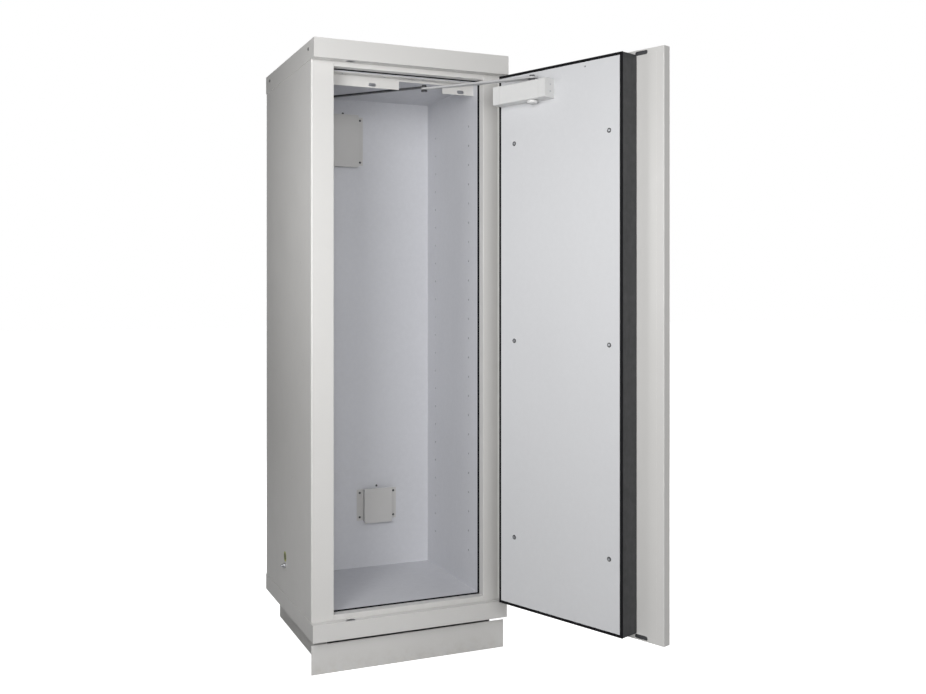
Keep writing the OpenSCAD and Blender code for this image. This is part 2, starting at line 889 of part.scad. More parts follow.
// Long plate with round ends, behind the lever and the lock cylinder
module handle_plate() {
    plate_w = 46;
    plate_h = 190;
    mid_z = handle_z - key_drop / 2;
    end_z = (plate_h - plate_w) / 2;
    color(dark_grey) swung() difference() {
        union() {
            for (side = [-1, 1])
                rod_y(door_at(handle_a, -handle_plate_t, mid_z + side * end_z), plate_w / 2, handle_plate_t);
            door_span([handle_a - plate_w / 2, handle_a + plate_w / 2], [-handle_plate_t, 0],
                      [mid_z - end_z, mid_z + end_z]);
        }
        rod_y(door_at(handle_a, -handle_plate_t - cut, handle_z), spindle_r + running_gap,
              handle_plate_t + 2 * cut);
        rod_y(door_at(handle_a, -handle_plate_t - cut, handle_z - key_drop), key_r + running_gap,
              handle_plate_t + 2 * cut);
    }
}

// Lever with its square-ended spindle; it lies level and points to the hinge edge
module door_handle() {
    hub_r = 12;
    hub_b = [-26, -handle_plate_t - thrust_gap];
    lever_len = 118;
    lever_w = 20;
    lever_b = [-38, -26];
    spindle_in = 8;
    color(dark_grey) swung() union() {
        rod_y(door_at(handle_a, hub_b[0], handle_z), hub_r, hub_b[1] - hub_b[0]);
        rod_y(door_at(handle_a, hub_b[1] - cut, handle_z), spindle_r, case_b[0] + spindle_in - hub_b[1]);
        rod_y(door_at(handle_a, lever_b[0], handle_z), hub_r, lever_b[1] - lever_b[0]);
        door_span([handle_a - lever_len, handle_a], lever_b,
                  [handle_z - lever_w / 2, handle_z + lever_w / 2]);
        rod_y(door_at(handle_a - lever_len, lever_b[0], handle_z), lever_w / 2, lever_b[1] - lever_b[0]);
    }
}

module lock_cylinder() {
    key_slot_w = 1.6;
    key_slot_h = 9;
    key_slot_depth = 6;
    face_b = -handle_plate_t - 3;
    cylinder_in = 6;
    color(steel) swung() difference() {
        rod_y(door_at(handle_a, face_b, handle_z - key_drop), key_r, case_b[0] + cylinder_in - face_b);
        door_span([handle_a - key_slot_w / 2, handle_a + key_slot_w / 2],
                  [face_b - cut, face_b + key_slot_depth],
                  [handle_z - key_drop - key_slot_h / 2, handle_z - key_drop + key_slot_h / 2]);
    }
}

// Closer -------------------------------------------------------------------------------------

spindle_shut = door_at(spindle_a, spindle_b, 0);
spindle_at = pivot + concat(turned(spindle_shut - pivot, door_open), [0]);
to_shoe = [shoe[0] - spindle_at[0], shoe[1] - spindle_at[1]];
arm_angle = atan2(to_shoe[1], to_shoe[0]);
forearm_len = norm(to_shoe) - main_arm_len;

module closer_body() {
    edge = 3;
    color(light_grey) swung() difference() {
        union() {
            door_span([closer_a0, closer_a0 + closer_len], [closer_b[0], closer_b[1] - edge],
                      [closer_z0, closer_top]);
            door_span([closer_a0, closer_a0 + closer_len], [closer_b[0], closer_b[1]],
                      [closer_z0 + edge, closer_top - edge]);
        }
        upright(door_at(spindle_a, spindle_b, 0), closer_pin_r + running_gap,
                [closer_z0 - cut, closer_top + cut]);
    }
}

// Adjusting screws in the end of the closer
module closer_valve_screws() {
    screw_z = [closer_z0 + 19, closer_z0 + 40];
    screw_b = spindle_b - 4;
    head_r = 3;
    head_h = 0.8;
    color(steel) swung() for (z = screw_z)
        translate(door_at(closer_a0 + closer_len, screw_b, z)) rotate([0, -90, 0])
            cylinder(r = head_r, h = head_h, $fn = round_fn);
}

// Spindle through the closer, with a round cap below
module closer_spindle() {
    cap_r = 16;
    cap_h = 9.5;
    collar_r = 11;
    at = door_at(spindle_a, spindle_b, 0);
    bottom = closer_z0 - thrust_gap - cap_h;
    color(light_grey) swung() union() {
        upright(at, closer_pin_r, [bottom, arm_z]);
        upright(at, cap_r, [bottom, bottom + cap_h]);
        upright(at, collar_r, [closer_top + thrust_gap, arm_z]);
    }
}

// Flat arm from an eye at the origin to an eye on the +X axis
module link(len, w, t) {
    near_eye = 3;
    far_eye = 1;
    upright([0, 0], w / 2 + near_eye, [0, t]);
    upright([len, 0], w / 2 + far_eye, [0, t]);
    span([0, len], [-w / 2, w / 2], [0, t]);
}

elbow_r = 5;

module closer_arm() {
    color(light_grey) translate([spindle_at[0], spindle_at[1], arm_z]) rotate([0, 0, arm_angle])
        difference() {
            link(main_arm_len, arm_w, arm_t);
            upright([main_arm_len, 0], elbow_r, [-cut, arm_t + cut]);
        }
}

// Rivet and knuckle in the main arm's outer eye
module closer_elbow() {
    knuckle_r = 10;
    knuckle_h = 8;
    elbow = spindle_at + main_arm_len * [cos(arm_angle), sin(arm_angle), 0];
    color(steel) union() {
        upright(elbow, elbow_r, [arm_z - cut, arm_z + arm_t]);
        upright(elbow, knuckle_r, [arm_z - knuckle_h, arm_z]);
    }
}

module closer_forearm() {
    rivet_r = 7;
    rivet_h = 4;
    color(seal_black) translate([shoe[0], shoe[1], forearm_z]) rotate([0, 0, arm_angle + 180])
        difference() {
            union() {
                link(forearm_len, forearm_w, forearm_t);
                upright([forearm_len, 0], rivet_r, [forearm_t, forearm_t + rivet_h]);
            }
            upright([0, 0], shoe_pin_r + running_gap, [-cut, forearm_t + cut]);
        }
}

// Bracket under the ceiling with the forearm's pin
module closer_shoe() {
    head_r = 8;
    head_h = 3.6;
    head_top = forearm_z - arm_gap;
    color(dark_grey) union() {
        span([shoe[0] - shoe_d / 2, shoe[0] + shoe_d / 2], [shoe[1] - shoe_w / 2, shoe[1] + shoe_w / 2],
             [ceiling_z - shoe_plate_t, ceiling_z]);
        upright(shoe, shoe_pin_r, [head_top - cut, ceiling_z]);
        upright(shoe, head_r, [head_top - head_h, head_top]);
        upright(shoe, head_r, [forearm_z + forearm_t + arm_gap, ceiling_z - shoe_plate_t]);
    }
}

// Drawing ------------------------------------------------------------------------------------

plinth_rail_left();
plinth_rail_right();
plinth_rail_rear();
plinth_panel();
plinth_panel_clips();
base_tray();
top_cap();
cap_screws();
side_panel_left();
side_panel_right();
rear_panel();
front_lintel();
front_sill();
insulation_left();
insulation_right();
insulation_rear();
insulation_top();
insulation_bottom();
liner_left();
liner_right();
liner_rear();
liner_floor();
liner_ceiling();
frame_seal();
lintel_plate();
ceiling_screws();
lower_vent_cover();
upper_vent_cover();
vent_screws();
vent_grilles();
exhaust_duct();
supply_duct();
exhaust_spigot();
supply_spigot();
hinge_pin_bottom();
hinge_pin_top();
earth_stud();
earth_label();
door_leaf();
door_leaf_back();
leaf_insulation();
door_block();
door_inner_panel();
door_seal();
door_panel_screws();
hinge_bushes();
bolt_guides();
lock_case();
handle_plate();
door_handle();
lock_cylinder();
top_bolt();
bottom_bolt();
closer_body();
closer_valve_screws();
closer_spindle();
closer_arm();
closer_elbow();
closer_forearm();
closer_shoe();
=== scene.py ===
"""Looks for a fire-resistant battery cabinet: materials, edge finish, fittings, light and camera."""
import bmesh
import bpy
import json
import math
from mathutils import Matrix, Vector


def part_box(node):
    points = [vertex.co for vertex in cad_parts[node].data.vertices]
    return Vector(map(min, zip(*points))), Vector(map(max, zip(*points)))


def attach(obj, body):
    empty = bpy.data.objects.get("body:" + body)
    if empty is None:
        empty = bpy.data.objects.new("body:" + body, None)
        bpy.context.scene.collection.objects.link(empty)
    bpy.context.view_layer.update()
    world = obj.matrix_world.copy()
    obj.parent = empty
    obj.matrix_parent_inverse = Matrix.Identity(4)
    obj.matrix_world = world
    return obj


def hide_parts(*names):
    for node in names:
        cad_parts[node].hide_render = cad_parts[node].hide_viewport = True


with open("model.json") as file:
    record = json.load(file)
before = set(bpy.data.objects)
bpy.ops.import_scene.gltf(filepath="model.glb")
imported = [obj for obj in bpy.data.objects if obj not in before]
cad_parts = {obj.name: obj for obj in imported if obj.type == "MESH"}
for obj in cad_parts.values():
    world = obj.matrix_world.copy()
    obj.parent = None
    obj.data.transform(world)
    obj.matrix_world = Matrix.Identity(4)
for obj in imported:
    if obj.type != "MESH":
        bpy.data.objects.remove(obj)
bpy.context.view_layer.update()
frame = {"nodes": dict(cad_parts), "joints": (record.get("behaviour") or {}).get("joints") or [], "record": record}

MM = 0.001
TURN = 2 * math.pi
NODES = frame["nodes"]
JOINTS = {joint["name"]: joint for joint in frame["joints"]}


# -------- places taken from the frame

# The door's own frame: along runs from the hinge edge to the free edge, through from the outer
# face towards the inner panel, and up is +Z. Its origin is on the pivot's axis, at the floor.
pivot = Vector(JOINTS["door_swing"]["pos_m"])
through = Vector(JOINTS["handle_turn"]["axis"]).normalized()
along = Vector((-through.y, through.x, 0))
DOOR = Matrix((
    (along.x, through.x, 0, pivot.x),
    (along.y, through.y, 0, pivot.y),
    (0, 0, 1, 0),
    (0, 0, 0, 1),
))
HERE = Matrix.Identity(4)


def put_in_scene(name, data):
    made = bpy.data.objects.new(name, data)
    bpy.context.scene.collection.objects.link(made)
    return made


def box_of(points):
    """Lowest and highest corner of a set of points."""
    low = Vector(min(p[i] for p in points) for i in range(3))
    high = Vector(max(p[i] for p in points) for i in range(3))
    return low, high


def islands(node, space=HERE):
    """Lowest and highest corner of each separate solid of a CAD node, in the given space."""
    mesh = bmesh.new()
    mesh.from_mesh(NODES[node].data)
    bmesh.ops.remove_doubles(mesh, verts=mesh.verts, dist=0.001 * MM)
    back = space.inverted()
    left_over = set(mesh.verts)
    found = []
    while left_over:
        stack = [left_over.pop()]
        points = []
        while stack:
            vert = stack.pop()
            points.append(back @ vert.co)
            for edge in vert.link_edges:
                other = edge.other_vert(vert)
                if other in left_over:
                    left_over.remove(other)
                    stack.append(other)
        found.append(box_of(points))
    mesh.free()
    return sorted(found, key=lambda pair: tuple(round(v, 5) for v in pair[0]))


def span_of(node, space=HERE):
    """Lowest and highest corner of a whole CAD node in the given space."""
    return box_of([corner for pair in islands(node, space) for corner in pair])


# -------- material building blocks

EVEN = (1, 1, 1)
UPRIGHT_GRAIN = (1, 1, 0.1)


class Shader:
    """A material with one Principled shader, and short calls for the nodes that feed it."""

    def __init__(self, name, colour, roughness, metallic=0.0, specular=0.5):
        self.material = bpy.data.materials.new(name)
        self.material.use_nodes = True
        self.tree = self.material.node_tree
        self.bsdf = self.tree.nodes["Principled BSDF"]
        self.colour = self.rgba(colour)
        self.bsdf.inputs["Metallic"].default_value = metallic
        self.bsdf.inputs["Roughness"].default_value = roughness
        self.bsdf.inputs["Specular IOR Level"].default_value = specular
        self.place = self.node("TexCoord").outputs["Object"]
        self.normal = None

    def node(self, kind, **settings):
        made = self.tree.nodes.new("ShaderNode" + kind)
        for key, value in settings.items():
            setattr(made, key, value)
        return made

    def link(self, source, target):
        self.tree.links.new(source, target)

    @staticmethod
    def rgba(colour):
        return (*colour, 1.0)

    def noise(self, size, detail=4, rough=0.55, stretch=EVEN):
        """Noise between 0 and 1 whose features are about size metres across."""
        mapping = self.node("Mapping")
        mapping.inputs["Scale"].default_value = stretch
        self.link(self.place, mapping.inputs["Vector"])
        made = self.node("TexNoise")
        made.inputs["Scale"].default_value = 1 / size
        made.inputs["Detail"].default_value = detail
        made.inputs["Roughness"].default_value = rough
        self.link(mapping.outputs["Vector"], made.inputs["Vector"])
        return made.outputs["Fac"]

    def cells(self, size):
        """Distance to the nearest of many points that lie about size metres apart."""
        made = self.node("TexVoronoi")
        made.inputs["Scale"].default_value = 1 / size
        self.link(self.place, made.inputs["Vector"])
        return made.outputs["Distance"]

    def height(self, low, high):
        """0 at the height low and 1 at the height high, in metres."""
        split = self.node("SeparateXYZ")
        self.link(self.place, split.inputs[0])
        return self.remap(split.outputs["Z"], low, high, 0, 1)

    def remap(self, value, low, high, to_low, to_high):
        made = self.node("MapRange", clamp=True)
        self.link(value, made.inputs["Value"])
        made.inputs["From Min"].default_value = low
        made.inputs["From Max"].default_value = high
        made.inputs["To Min"].default_value = to_low
        made.inputs["To Max"].default_value = to_high
        return made.outputs["Result"]

    def patches(self, size, detail=4, start=0.35, full=0.7, least=0.0, most=1.0, rough=0.55,
                stretch=EVEN):
        """Patches about size metres across: least where the noise is below start, rising to most
        where it reaches full."""
        return self.remap(self.noise(size, detail, rough, stretch), start, full, least, most)

    def times(self, first, second):
        made = self.node("Math", operation="MULTIPLY")
        self.link(first, made.inputs[0])
        self.link(second, made.inputs[1])
        return made.outputs[0]

    def plus(self, first, second):
        made = self.node("Math", operation="ADD")
        self.link(first, made.inputs[0])
        self.link(second, made.inputs[1])
        return made.outputs[0]

    def tint(self, mask, colour):
        """Mixes a colour over what the shader has so far, where mask is 1."""
        made = self.node("Mix", data_type="RGBA")
        self.link(mask, made.inputs["Factor"])
        if isinstance(self.colour, tuple):
            made.inputs["A"].default_value = self.colour
        else:
            self.link(self.colour, made.inputs["A"])
        made.inputs["B"].default_value = self.rgba(colour)
        self.colour = made.outputs["Result"]

    def edges(self, width):
        """1 along the sharp edges of the piece and 0 on its flats."""
        flat_until = 0.98
        edge_from = 0.75
        soft = self.node("Bevel", samples=4)
        soft.inputs["Radius"].default_value = width
        true_normal = self.node("NewGeometry").outputs["Normal"]
        dot = self.node("VectorMath", operation="DOT_PRODUCT")
        self.link(soft.outputs[0], dot.inputs[0])
        self.link(true_normal, dot.inputs[1])
        return self.remap(dot.outputs["Value"], flat_until, edge_from, 0, 1)

    def patchy_edges(self, width, **patches):
        """The sharp edges, broken up into patches."""
        return self.times(self.edges(width), self.patches(**patches))

    def bump(self, height, depth, strength):
        """Adds relief of depth metres to the relief so far."""
        made = self.node("Bump")
        made.inputs["Strength"].default_value = strength
        made.inputs["Distance"].default_value = depth
        self.link(height, made.inputs["Height"])
        if self.normal is not None:
            self.link(self.normal, made.inputs["Normal"])
        self.normal = made.outputs[0]

    def relief(self, size, depth, strength, detail=4, rough=0.55, stretch=EVEN):
        """Adds uneven relief whose features are about size metres across."""
        self.bump(self.noise(size, detail, rough, stretch), depth, strength)

    def set_roughness(self, value):
        self.link(value, self.bsdf.inputs["Roughness"])

    def uneven_roughness(self, size, low, high, detail=4, rough=0.55, stretch=EVEN):
        """Lets the roughness drift between low and high in patches about size metres across."""
        self.set_roughness(self.patches(size, detail, 0.3, 0.7, low, high, rough, stretch))

    def done(self):
        if isinstance(self.colour, tuple):
            self.bsdf.inputs["Base Color"].default_value = self.colour
        else:
            self.link(self.colour, self.bsdf.inputs["Base Color"])
        if self.normal is not None:
            self.link(self.normal, self.bsdf.inputs["Normal"])
        return self.material


def shade(colour, factor):
    return tuple(min(1.0, c * factor) for c in colour)


# -------- materials

def powder_coat(name, colour):
    """Baked powder coat: orange peel over a fine grain, faint clouding, and edges made pale by wear and a painted
    highlight.
    """
    rough = 0.34
    grain = 1.1 * MM
    s = Shader(name, colour, rough)
    s.tint(s.patches(size=0.42, most=0.5), shade(colour, 0.965))
    s.tint(s.patches(size=grain, detail=2, start=0.5, full=0.72, most=0.35), shade(colour, 0.93))
    # Pale edges: partly wear, partly a painted highlight along every sharp edge.
    pale_edges = s.patchy_edges(1.6 * MM, size=16 * MM, detail=5, start=0.42, full=0.62, least=0.3, most=0.75)
    s.tint(pale_edges, shade(colour, 1.35))
    smudges = s.patches(size=0.11, detail=5, rough=0.65, start=0.3, full=0.75, least=rough - 0.05,
                        most=rough + 0.09)
    fine = s.patches(size=grain, detail=1, start=0.3, full=0.7, least=-0.03, most=0.03)
    s.set_roughness(s.plus(smudges, fine))
    s.relief(size=4.5 * MM, detail=2, depth=0.05 * MM, strength=0.8)
    s.relief(size=grain, detail=2, depth=0.03 * MM, strength=0.7)
    return s.done()


def plinth_coat(name, colour):
    """The same coat near the floor, with scuffs and a little dust along its lower edge."""
    dust = (0.46, 0.43, 0.39)
    bare_edge = (0.62, 0.61, 0.59)
    dusty_below = 90 * MM
    s = Shader(name, colour, 0.42)
    s.tint(s.patches(size=0.3, most=0.6), shade(colour, 0.95))
    low_down = s.remap(s.height(dusty_below, 0.0), 0.3, 1, 0, 1)
    dusty = s.patches(size=30 * MM, detail=6, rough=0.7, start=0.45, full=0.75, most=0.5)
    s.tint(s.times(low_down, dusty), dust)
    scuffs = s.patches(size=9 * MM, detail=5, rough=0.6, stretch=(0.25, 1, 4), start=0.66, full=0.76,
                       most=0.25)
    s.tint(scuffs, shade(colour, 0.75))
    s.tint(s.patchy_edges(1.2 * MM, size=12 * MM, start=0.45, full=0.6, most=0.6), bare_edge)
    s.uneven_roughness(size=0.06, detail=5, low=0.36, high=0.5)
    s.relief(size=4.0 * MM, detail=2, depth=0.05 * MM, strength=0.8)
    s.relief(size=1.0 * MM, detail=2, depth=0.03 * MM, strength=0.7)
    return s.done()


def laminate(name, colour, rough=0.38, cloud=0.12):
    """Smooth resin laminate: pearl-like mottle, faint wiping marks and a very shallow print."""
    s = Shader(name, colour, rough)
    s.tint(s.patches(size=0.5, detail=3, start=0.3), shade(colour, 1 - cloud * 0.4))
    s.tint(s.patches(size=14 * MM, detail=5, rough=0.6, start=0.4, full=0.72, most=0.4),
           shade(colour, 1 + cloud * 0.6))
    s.tint(s.remap(s.cells(1.6 * MM), 0.15, 0.6, 0, 0.18), shade(colour, 0.9))
    s.uneven_roughness(size=30 * MM, rough=0.6, stretch=(1, 1, 0.2), low=rough - 0.07,
                       high=rough + 0.08)
    s.relief(size=2.2 * MM, detail=3, depth=0.03 * MM, strength=0.6)
    s.relief(size=60 * MM, detail=2, depth=0.2 * MM, strength=0.25)
    return s.done()


def fire_board(name, colour):
    """Chalky mineral board: pressed grain, pinholes darkened as painted shade in their pits, and stray fibres."""
    pinhole_gap = 3.2 * MM
    s = Shader(name, colour, 0.93, specular=0.2)
    s.tint(s.patches(size=40 * MM, detail=6, rough=0.6, most=0.7), shade(colour, 0.88))
    # Pinholes: the colour is darkened at each pit as painted shade.
    s.tint(s.remap(s.cells(pinhole_gap), 0.0, 0.16, 0.7, 0), shade(colour, 0.55))
    fibres = s.patches(size=3 * MM, rough=0.6, stretch=(1, 6, 1), start=0.6, full=0.72, most=0.4)
    s.tint(fibres, shade(colour, 1.08))
    s.uneven_roughness(size=8 * MM, low=0.86, high=0.98)
    s.bump(s.cells(pinhole_gap), 0.25 * MM, 0.5)
    s.relief(size=1.5 * MM, depth=0.12 * MM, strength=0.7)
    return s.done()


def block_face(name):
    """Dark board that the insulated block is built from, with a rolled upright grain."""
    grain = 2.4 * MM
    s = Shader(name, (0.034, 0.035, 0.037), 0.55)
    streaks = s.patches(size=26 * MM, detail=5, rough=0.6, stretch=(1, 1, 0.12), start=0.3, full=0.75)
    s.tint(streaks, (0.046, 0.047, 0.049))
    fine = s.patches(size=grain, rough=0.6, stretch=UPRIGHT_GRAIN, start=0.52, most=0.5)
    s.tint(fine, (0.064, 0.065, 0.068))
    s.tint(s.patchy_edges(3 * MM, size=10 * MM, full=0.6, most=0.7), (0.02, 0.02, 0.021))
    s.uneven_roughness(size=20 * MM, detail=5, low=0.46, high=0.64)
    s.relief(size=grain, rough=0.6, stretch=UPRIGHT_GRAIN, depth=0.08 * MM, strength=0.7)
    return s.done()


def black_rubber(name):
    """Extruded black seal: matt, with faint draw lines, bloom and rounded-off edges."""
    bloom = (0.014, 0.014, 0.015)
    pale_edges = (0.022, 0.022, 0.023)
    s = Shader(name, (0.007, 0.007, 0.008), 0.75, specular=0.12)
    s.tint(s.patches(size=22 * MM, detail=5, rough=0.65, start=0.48, full=0.8, most=0.6), bloom)
    s.tint(s.patchy_edges(1.0 * MM, size=5 * MM, start=0.4, full=0.6, most=0.8), pale_edges)
    s.uneven_roughness(size=9 * MM, low=0.66, high=0.84)
    s.relief(size=0.9 * MM, detail=3, depth=0.05 * MM, strength=0.8)
    return s.done()


def dark_enamel(name, colour=(0.055, 0.056, 0.06)):
    """Dark baked enamel on small fittings, worn bright along the edges."""
    bare_steel = (0.32, 0.32, 0.33)
    s = Shader(name, colour, 0.42)
    s.tint(s.patches(size=11 * MM, detail=5, most=0.7), shade(colour, 1.5))
    s.tint(s.patchy_edges(0.7 * MM, size=4 * MM, detail=5, start=0.46, full=0.62, most=0.8), bare_steel)
    s.uneven_roughness(size=6 * MM, low=0.34, high=0.52)
    s.relief(size=0.8 * MM, detail=3, depth=0.035 * MM, strength=0.8)
    return s.done()


def zinc_steel(name, colour=(0.60, 0.61, 0.63), spangle=7 * MM, rough=0.33):
    """Zinc-plated steel: soft spangle, fine turned or rolled lines and dulled spots."""
    s = Shader(name, colour, rough, metallic=1.0)
    s.tint(s.remap(s.cells(spangle), 0.1, 0.8, 0, 0.7), shade(colour, 0.8))
    s.tint(s.patches(size=5 * MM, detail=6, rough=0.7, start=0.55, full=0.8, most=0.6), shade(colour, 0.6))
    s.tint(s.edges(0.5 * MM), shade(colour, 1.2))
    s.uneven_roughness(size=2.5 * MM, rough=0.6, stretch=(1, 1, 5), low=rough - 0.1,
                       high=rough + 0.15)
    s.relief(size=0.5 * MM, detail=2, rough=0.5, stretch=(1, 1, 6), depth=0.02 * MM, strength=0.6)
    return s.done()


def bronze(name):
    """Plain bronze bush with a darkened skin."""
    s = Shader(name, (0.52, 0.38, 0.19), 0.36, metallic=1.0)
    s.tint(s.patches(size=4 * MM, detail=5, rough=0.6, start=0.45, full=0.75, most=0.8), (0.28, 0.19, 0.10))
    s.tint(s.edges(0.4 * MM), (0.72, 0.56, 0.30))
    s.uneven_roughness(size=2 * MM, low=0.28, high=0.5)
    s.relief(size=0.5 * MM, detail=2, rough=0.5, stretch=(1, 1, 8), depth=0.02 * MM, strength=0.7)
    return s.done()


def closer_enamel(name, colour):
    """Silver-grey enamel over a cast housing, with the casting's grain underneath."""
    s = Shader(name, colour, 0.36)
    s.tint(s.patches(size=20 * MM, most=0.6), shade(colour, 0.95))
    s.tint(s.patches(size=0.6 * MM, detail=2, start=0.55, most=0.4), shade(colour, 1.12))
    s.tint(s.patchy_edges(0.9 * MM, size=5 * MM, start=0.45, full=0.62, most=0.6), shade(colour, 0.72))
    s.uneven_roughness(size=7 * MM, low=0.28, high=0.44)
    s.relief(size=1.6 * MM, detail=3, depth=0.05 * MM, strength=0.8)
    return s.done()


def label_film(name, colour):
    """Printed plastic film of the blank earth label, slightly faded and lifted at the rim."""
    s = Shader(name, colour, 0.35)
    s.tint(s.patches(size=6 * MM, most=0.6), shade(colour, 0.8))
    s.tint(s.edges(0.5 * MM), (0.16, 0.17, 0.04))
    s.uneven_roughness(size=3 * MM, low=0.28, high=0.46)
    s.relief(size=1.2 * MM, detail=3, depth=0.03 * MM, strength=0.7)
    return s.done()


def sealant(name, colour):
    """Sealing bead tooled into the inner corners, paler than the lining: partly pale sealant, partly a painted
    highlight.
    """
    s = Shader(name, colour, 0.45)
    s.tint(s.patches(size=9 * MM, start=0.4, most=0.6), shade(colour, 0.86))
    s.uneven_roughness(size=5 * MM, detail=3, low=0.38, high=0.55)
    s.relief(size=3 * MM, detail=3, depth=0.12 * MM, strength=0.7)
    return s.done()


COAT = (0.625, 0.617, 0.602)
LINING = (0.628, 0.634, 0.664)
PANEL = (0.625, 0.630, 0.644)

MATERIALS = {
    "coated_steel": powder_coat("light_grey_powder_coat", COAT),
    # Vent covers: the body's coat made 10% darker, as painted shade on the covers inside the cabinet.
    "vent_coat_painted_shade": powder_coat("vent_cover_coat_painted_shade", shade(COAT, 0.9)),
    "plinth_steel": plinth_coat("plinth_powder_coat", shade(COAT, 0.98)),
    "lining": laminate("blue_grey_laminate", LINING),
    "inner_panel": laminate("light_grey_laminate", PANEL, 0.42, 0.06),
    "laminate_core": laminate("dark_laminate_core", (0.16, 0.16, 0.165), 0.6),
    "fire_board": fire_board("mineral_fire_board", (0.80, 0.78, 0.71)),
    "block_core": block_face("dark_block_board"),
    "seal": black_rubber("black_seal_rubber"),
    "dark_fittings": dark_enamel("dark_grey_enamel"),
    "zinc_steel": zinc_steel("zinc_plated_steel"),
    "duct_steel": zinc_steel("galvanised_duct_sheet", (0.56, 0.58, 0.60), 16 * MM, 0.4),
    "closer_paint": closer_enamel("closer_silver_enamel", (0.66, 0.66, 0.655)),
    "arm_paint": closer_enamel("closer_arm_enamel", (0.43, 0.43, 0.435)),
    "black_arm": dark_enamel("black_arm_enamel", (0.020, 0.020, 0.022)),
    "bush_brass": bronze("bronze_bush"),
    "earth_sticker": label_film("yellow_green_film", (0.44, 0.47, 0.07)),
    "label_centre": label_film("dark_green_film", (0.045, 0.06, 0.02)),
    # The bead is the lining colour made 6% lighter: partly pale sealant, partly a painted highlight along the
    # inner corners.
    "sealant": sealant("pale_sealant_and_highlight_bead", shade(LINING, 1.06)),
}


# -------- edge finish

CRISP_ANGLE = math.radians(32)
FOLD_ANGLE = math.radians(40)
FLAT_ANGLE = math.radians(0.4)
WELD_GAP = 0.002 * MM


def smooth_by_angle():
    """Geometry nodes that smooth every face and keep edges sharper than CRISP_ANGLE crisp."""
    tree = bpy.data.node_groups.new("smooth_by_angle", "GeometryNodeTree")
    tree.interface.new_socket("Geometry", in_out="INPUT", socket_type="NodeSocketGeometry")
    tree.interface.new_socket("Geometry", in_out="OUTPUT", socket_type="NodeSocketGeometry")
    start = tree.nodes.new("NodeGroupInput")
    end = tree.nodes.new("NodeGroupOutput")
    faces = tree.nodes.new("GeometryNodeSetShadeSmooth")
    faces.domain = "FACE"
    edges = tree.nodes.new("GeometryNodeSetShadeSmooth")
    edges.domain = "EDGE"
    angle = tree.nodes.new("GeometryNodeInputMeshEdgeAngle")
    below = tree.nodes.new("FunctionNodeCompare")
    below.data_type = "FLOAT"
    below.operation = "LESS_THAN"
    below.inputs["B"].default_value = CRISP_ANGLE
    tree.links.new(start.outputs[0], faces.inputs["Geometry"])
    tree.links.new(faces.outputs[0], edges.inputs["Geometry"])
    tree.links.new(angle.outputs["Unsigned Angle"], below.inputs["A"])
    tree.links.new(below.outputs[0], edges.inputs["Shade Smooth"])
    tree.links.new(edges.outputs[0], end.inputs[0])
    return tree


SMOOTH = smooth_by_angle()


def finish_edges(piece, radius, weld=True):
    """Welds a piece's faces, rounds its sharp edges and shades the result evenly."""
    if weld:
        piece.modifiers.new("weld", "WELD").merge_threshold = WELD_GAP
        planar = piece.modifiers.new("flats", "DECIMATE")
        planar.decimate_type = "DISSOLVE"
        planar.angle_limit = FLAT_ANGLE
    if radius > 0:
        bevel = piece.modifiers.new("edge_radius", "BEVEL")
        bevel.width = radius
        bevel.segments = 2
        bevel.limit_method = "ANGLE"
        bevel.angle_limit = FOLD_ANGLE
        bevel.miter_outer = "MITER_ARC"
    piece.modifiers.new("smooth", "NODES").node_group = SMOOTH
    normals = piece.modifiers.new("even_normals", "WEIGHTED_NORMAL")
    normals.keep_sharp = True


def paint(piece, material):
    piece.data.materials.clear()
    piece.data.materials.append(MATERIALS[material])


# Each group: its material, the radius of its edges, and the CAD nodes that keep their shape
NODE_FINISH = [
    ("coated_steel", 1.1 * MM, ["base_tray", "top_cap", "side_panel_left", "side_panel_right",
                                "rear_panel", "front_lintel", "front_sill", "door_leaf"]),
    ("coated_steel", 0.5 * MM, ["lintel_plate", "door_leaf_back"]),
    # The vent covers take the coat darkened as painted shade.
    ("vent_coat_painted_shade", 0.5 * MM, ["lower_vent_cover", "upper_vent_cover"]),
    ("plinth_steel", 0.7 * MM, ["plinth_rail_left", "plinth_rail_right", "plinth_rail_rear",
                                "plinth_panel"]),
    ("lining", 0.3 * MM, ["liner_left", "liner_right", "liner_rear", "liner_floor", "liner_ceiling"]),
    ("inner_panel", 0.6 * MM, ["door_inner_panel"]),
    ("fire_board", 1.0 * MM, ["insulation_left", "insulation_right", "insulation_rear", "insulation_top",
                              "insulation_bottom", "leaf_insulation"]),
    ("block_core", 1.5 * MM, ["door_block"]),
    ("seal", 0.4 * MM, ["vent_grilles"]),
    ("dark_fittings", 0.8 * MM, ["plinth_panel_clips", "bolt_guides", "handle_plate", "closer_shoe"]),
    ("zinc_steel", 0.5 * MM, ["hinge_pin_bottom", "hinge_pin_top", "lock_case", "lock_cylinder",
                              "top_bolt", "bottom_bolt"]),
    ("duct_steel", 0.4 * MM, ["exhaust_duct", "supply_duct"]),
    ("black_arm", 0.8 * MM, ["closer_forearm"]),
    ("bush_brass", 0.4 * MM, ["hinge_bushes"]),
]

for material, radius, names in NODE_FINISH:
    for name in names:
        paint(NODES[name], material)
        finish_edges(NODES[name], radius)


# -------- building blocks for pieces

def add_piece(name, mesh, material, body, replaced=(), space=HERE, radius=0.0):
    """Turns a bmesh into a finished piece that rides on a body."""
    bmesh.ops.recalc_face_normals(mesh, faces=mesh.faces)
    data = bpy.data.meshes.new(name)
    mesh.to_mesh(data)
    mesh.free()
    piece = put_in_scene(name, data)
    piece.matrix_world = space
    paint(piece, material)
    finish_edges(piece, radius, weld=False)
    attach(piece, body)
    if replaced:
        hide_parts(*replaced)


def turned_frame(at, axis):
    """Matrix whose Z axis lies along axis, with its origin at a point."""
    turn = Vector(axis).normalized().to_track_quat("Z", "Y").to_matrix().to_4x4()
    return Matrix.Translation(Vector(at)) @ turn


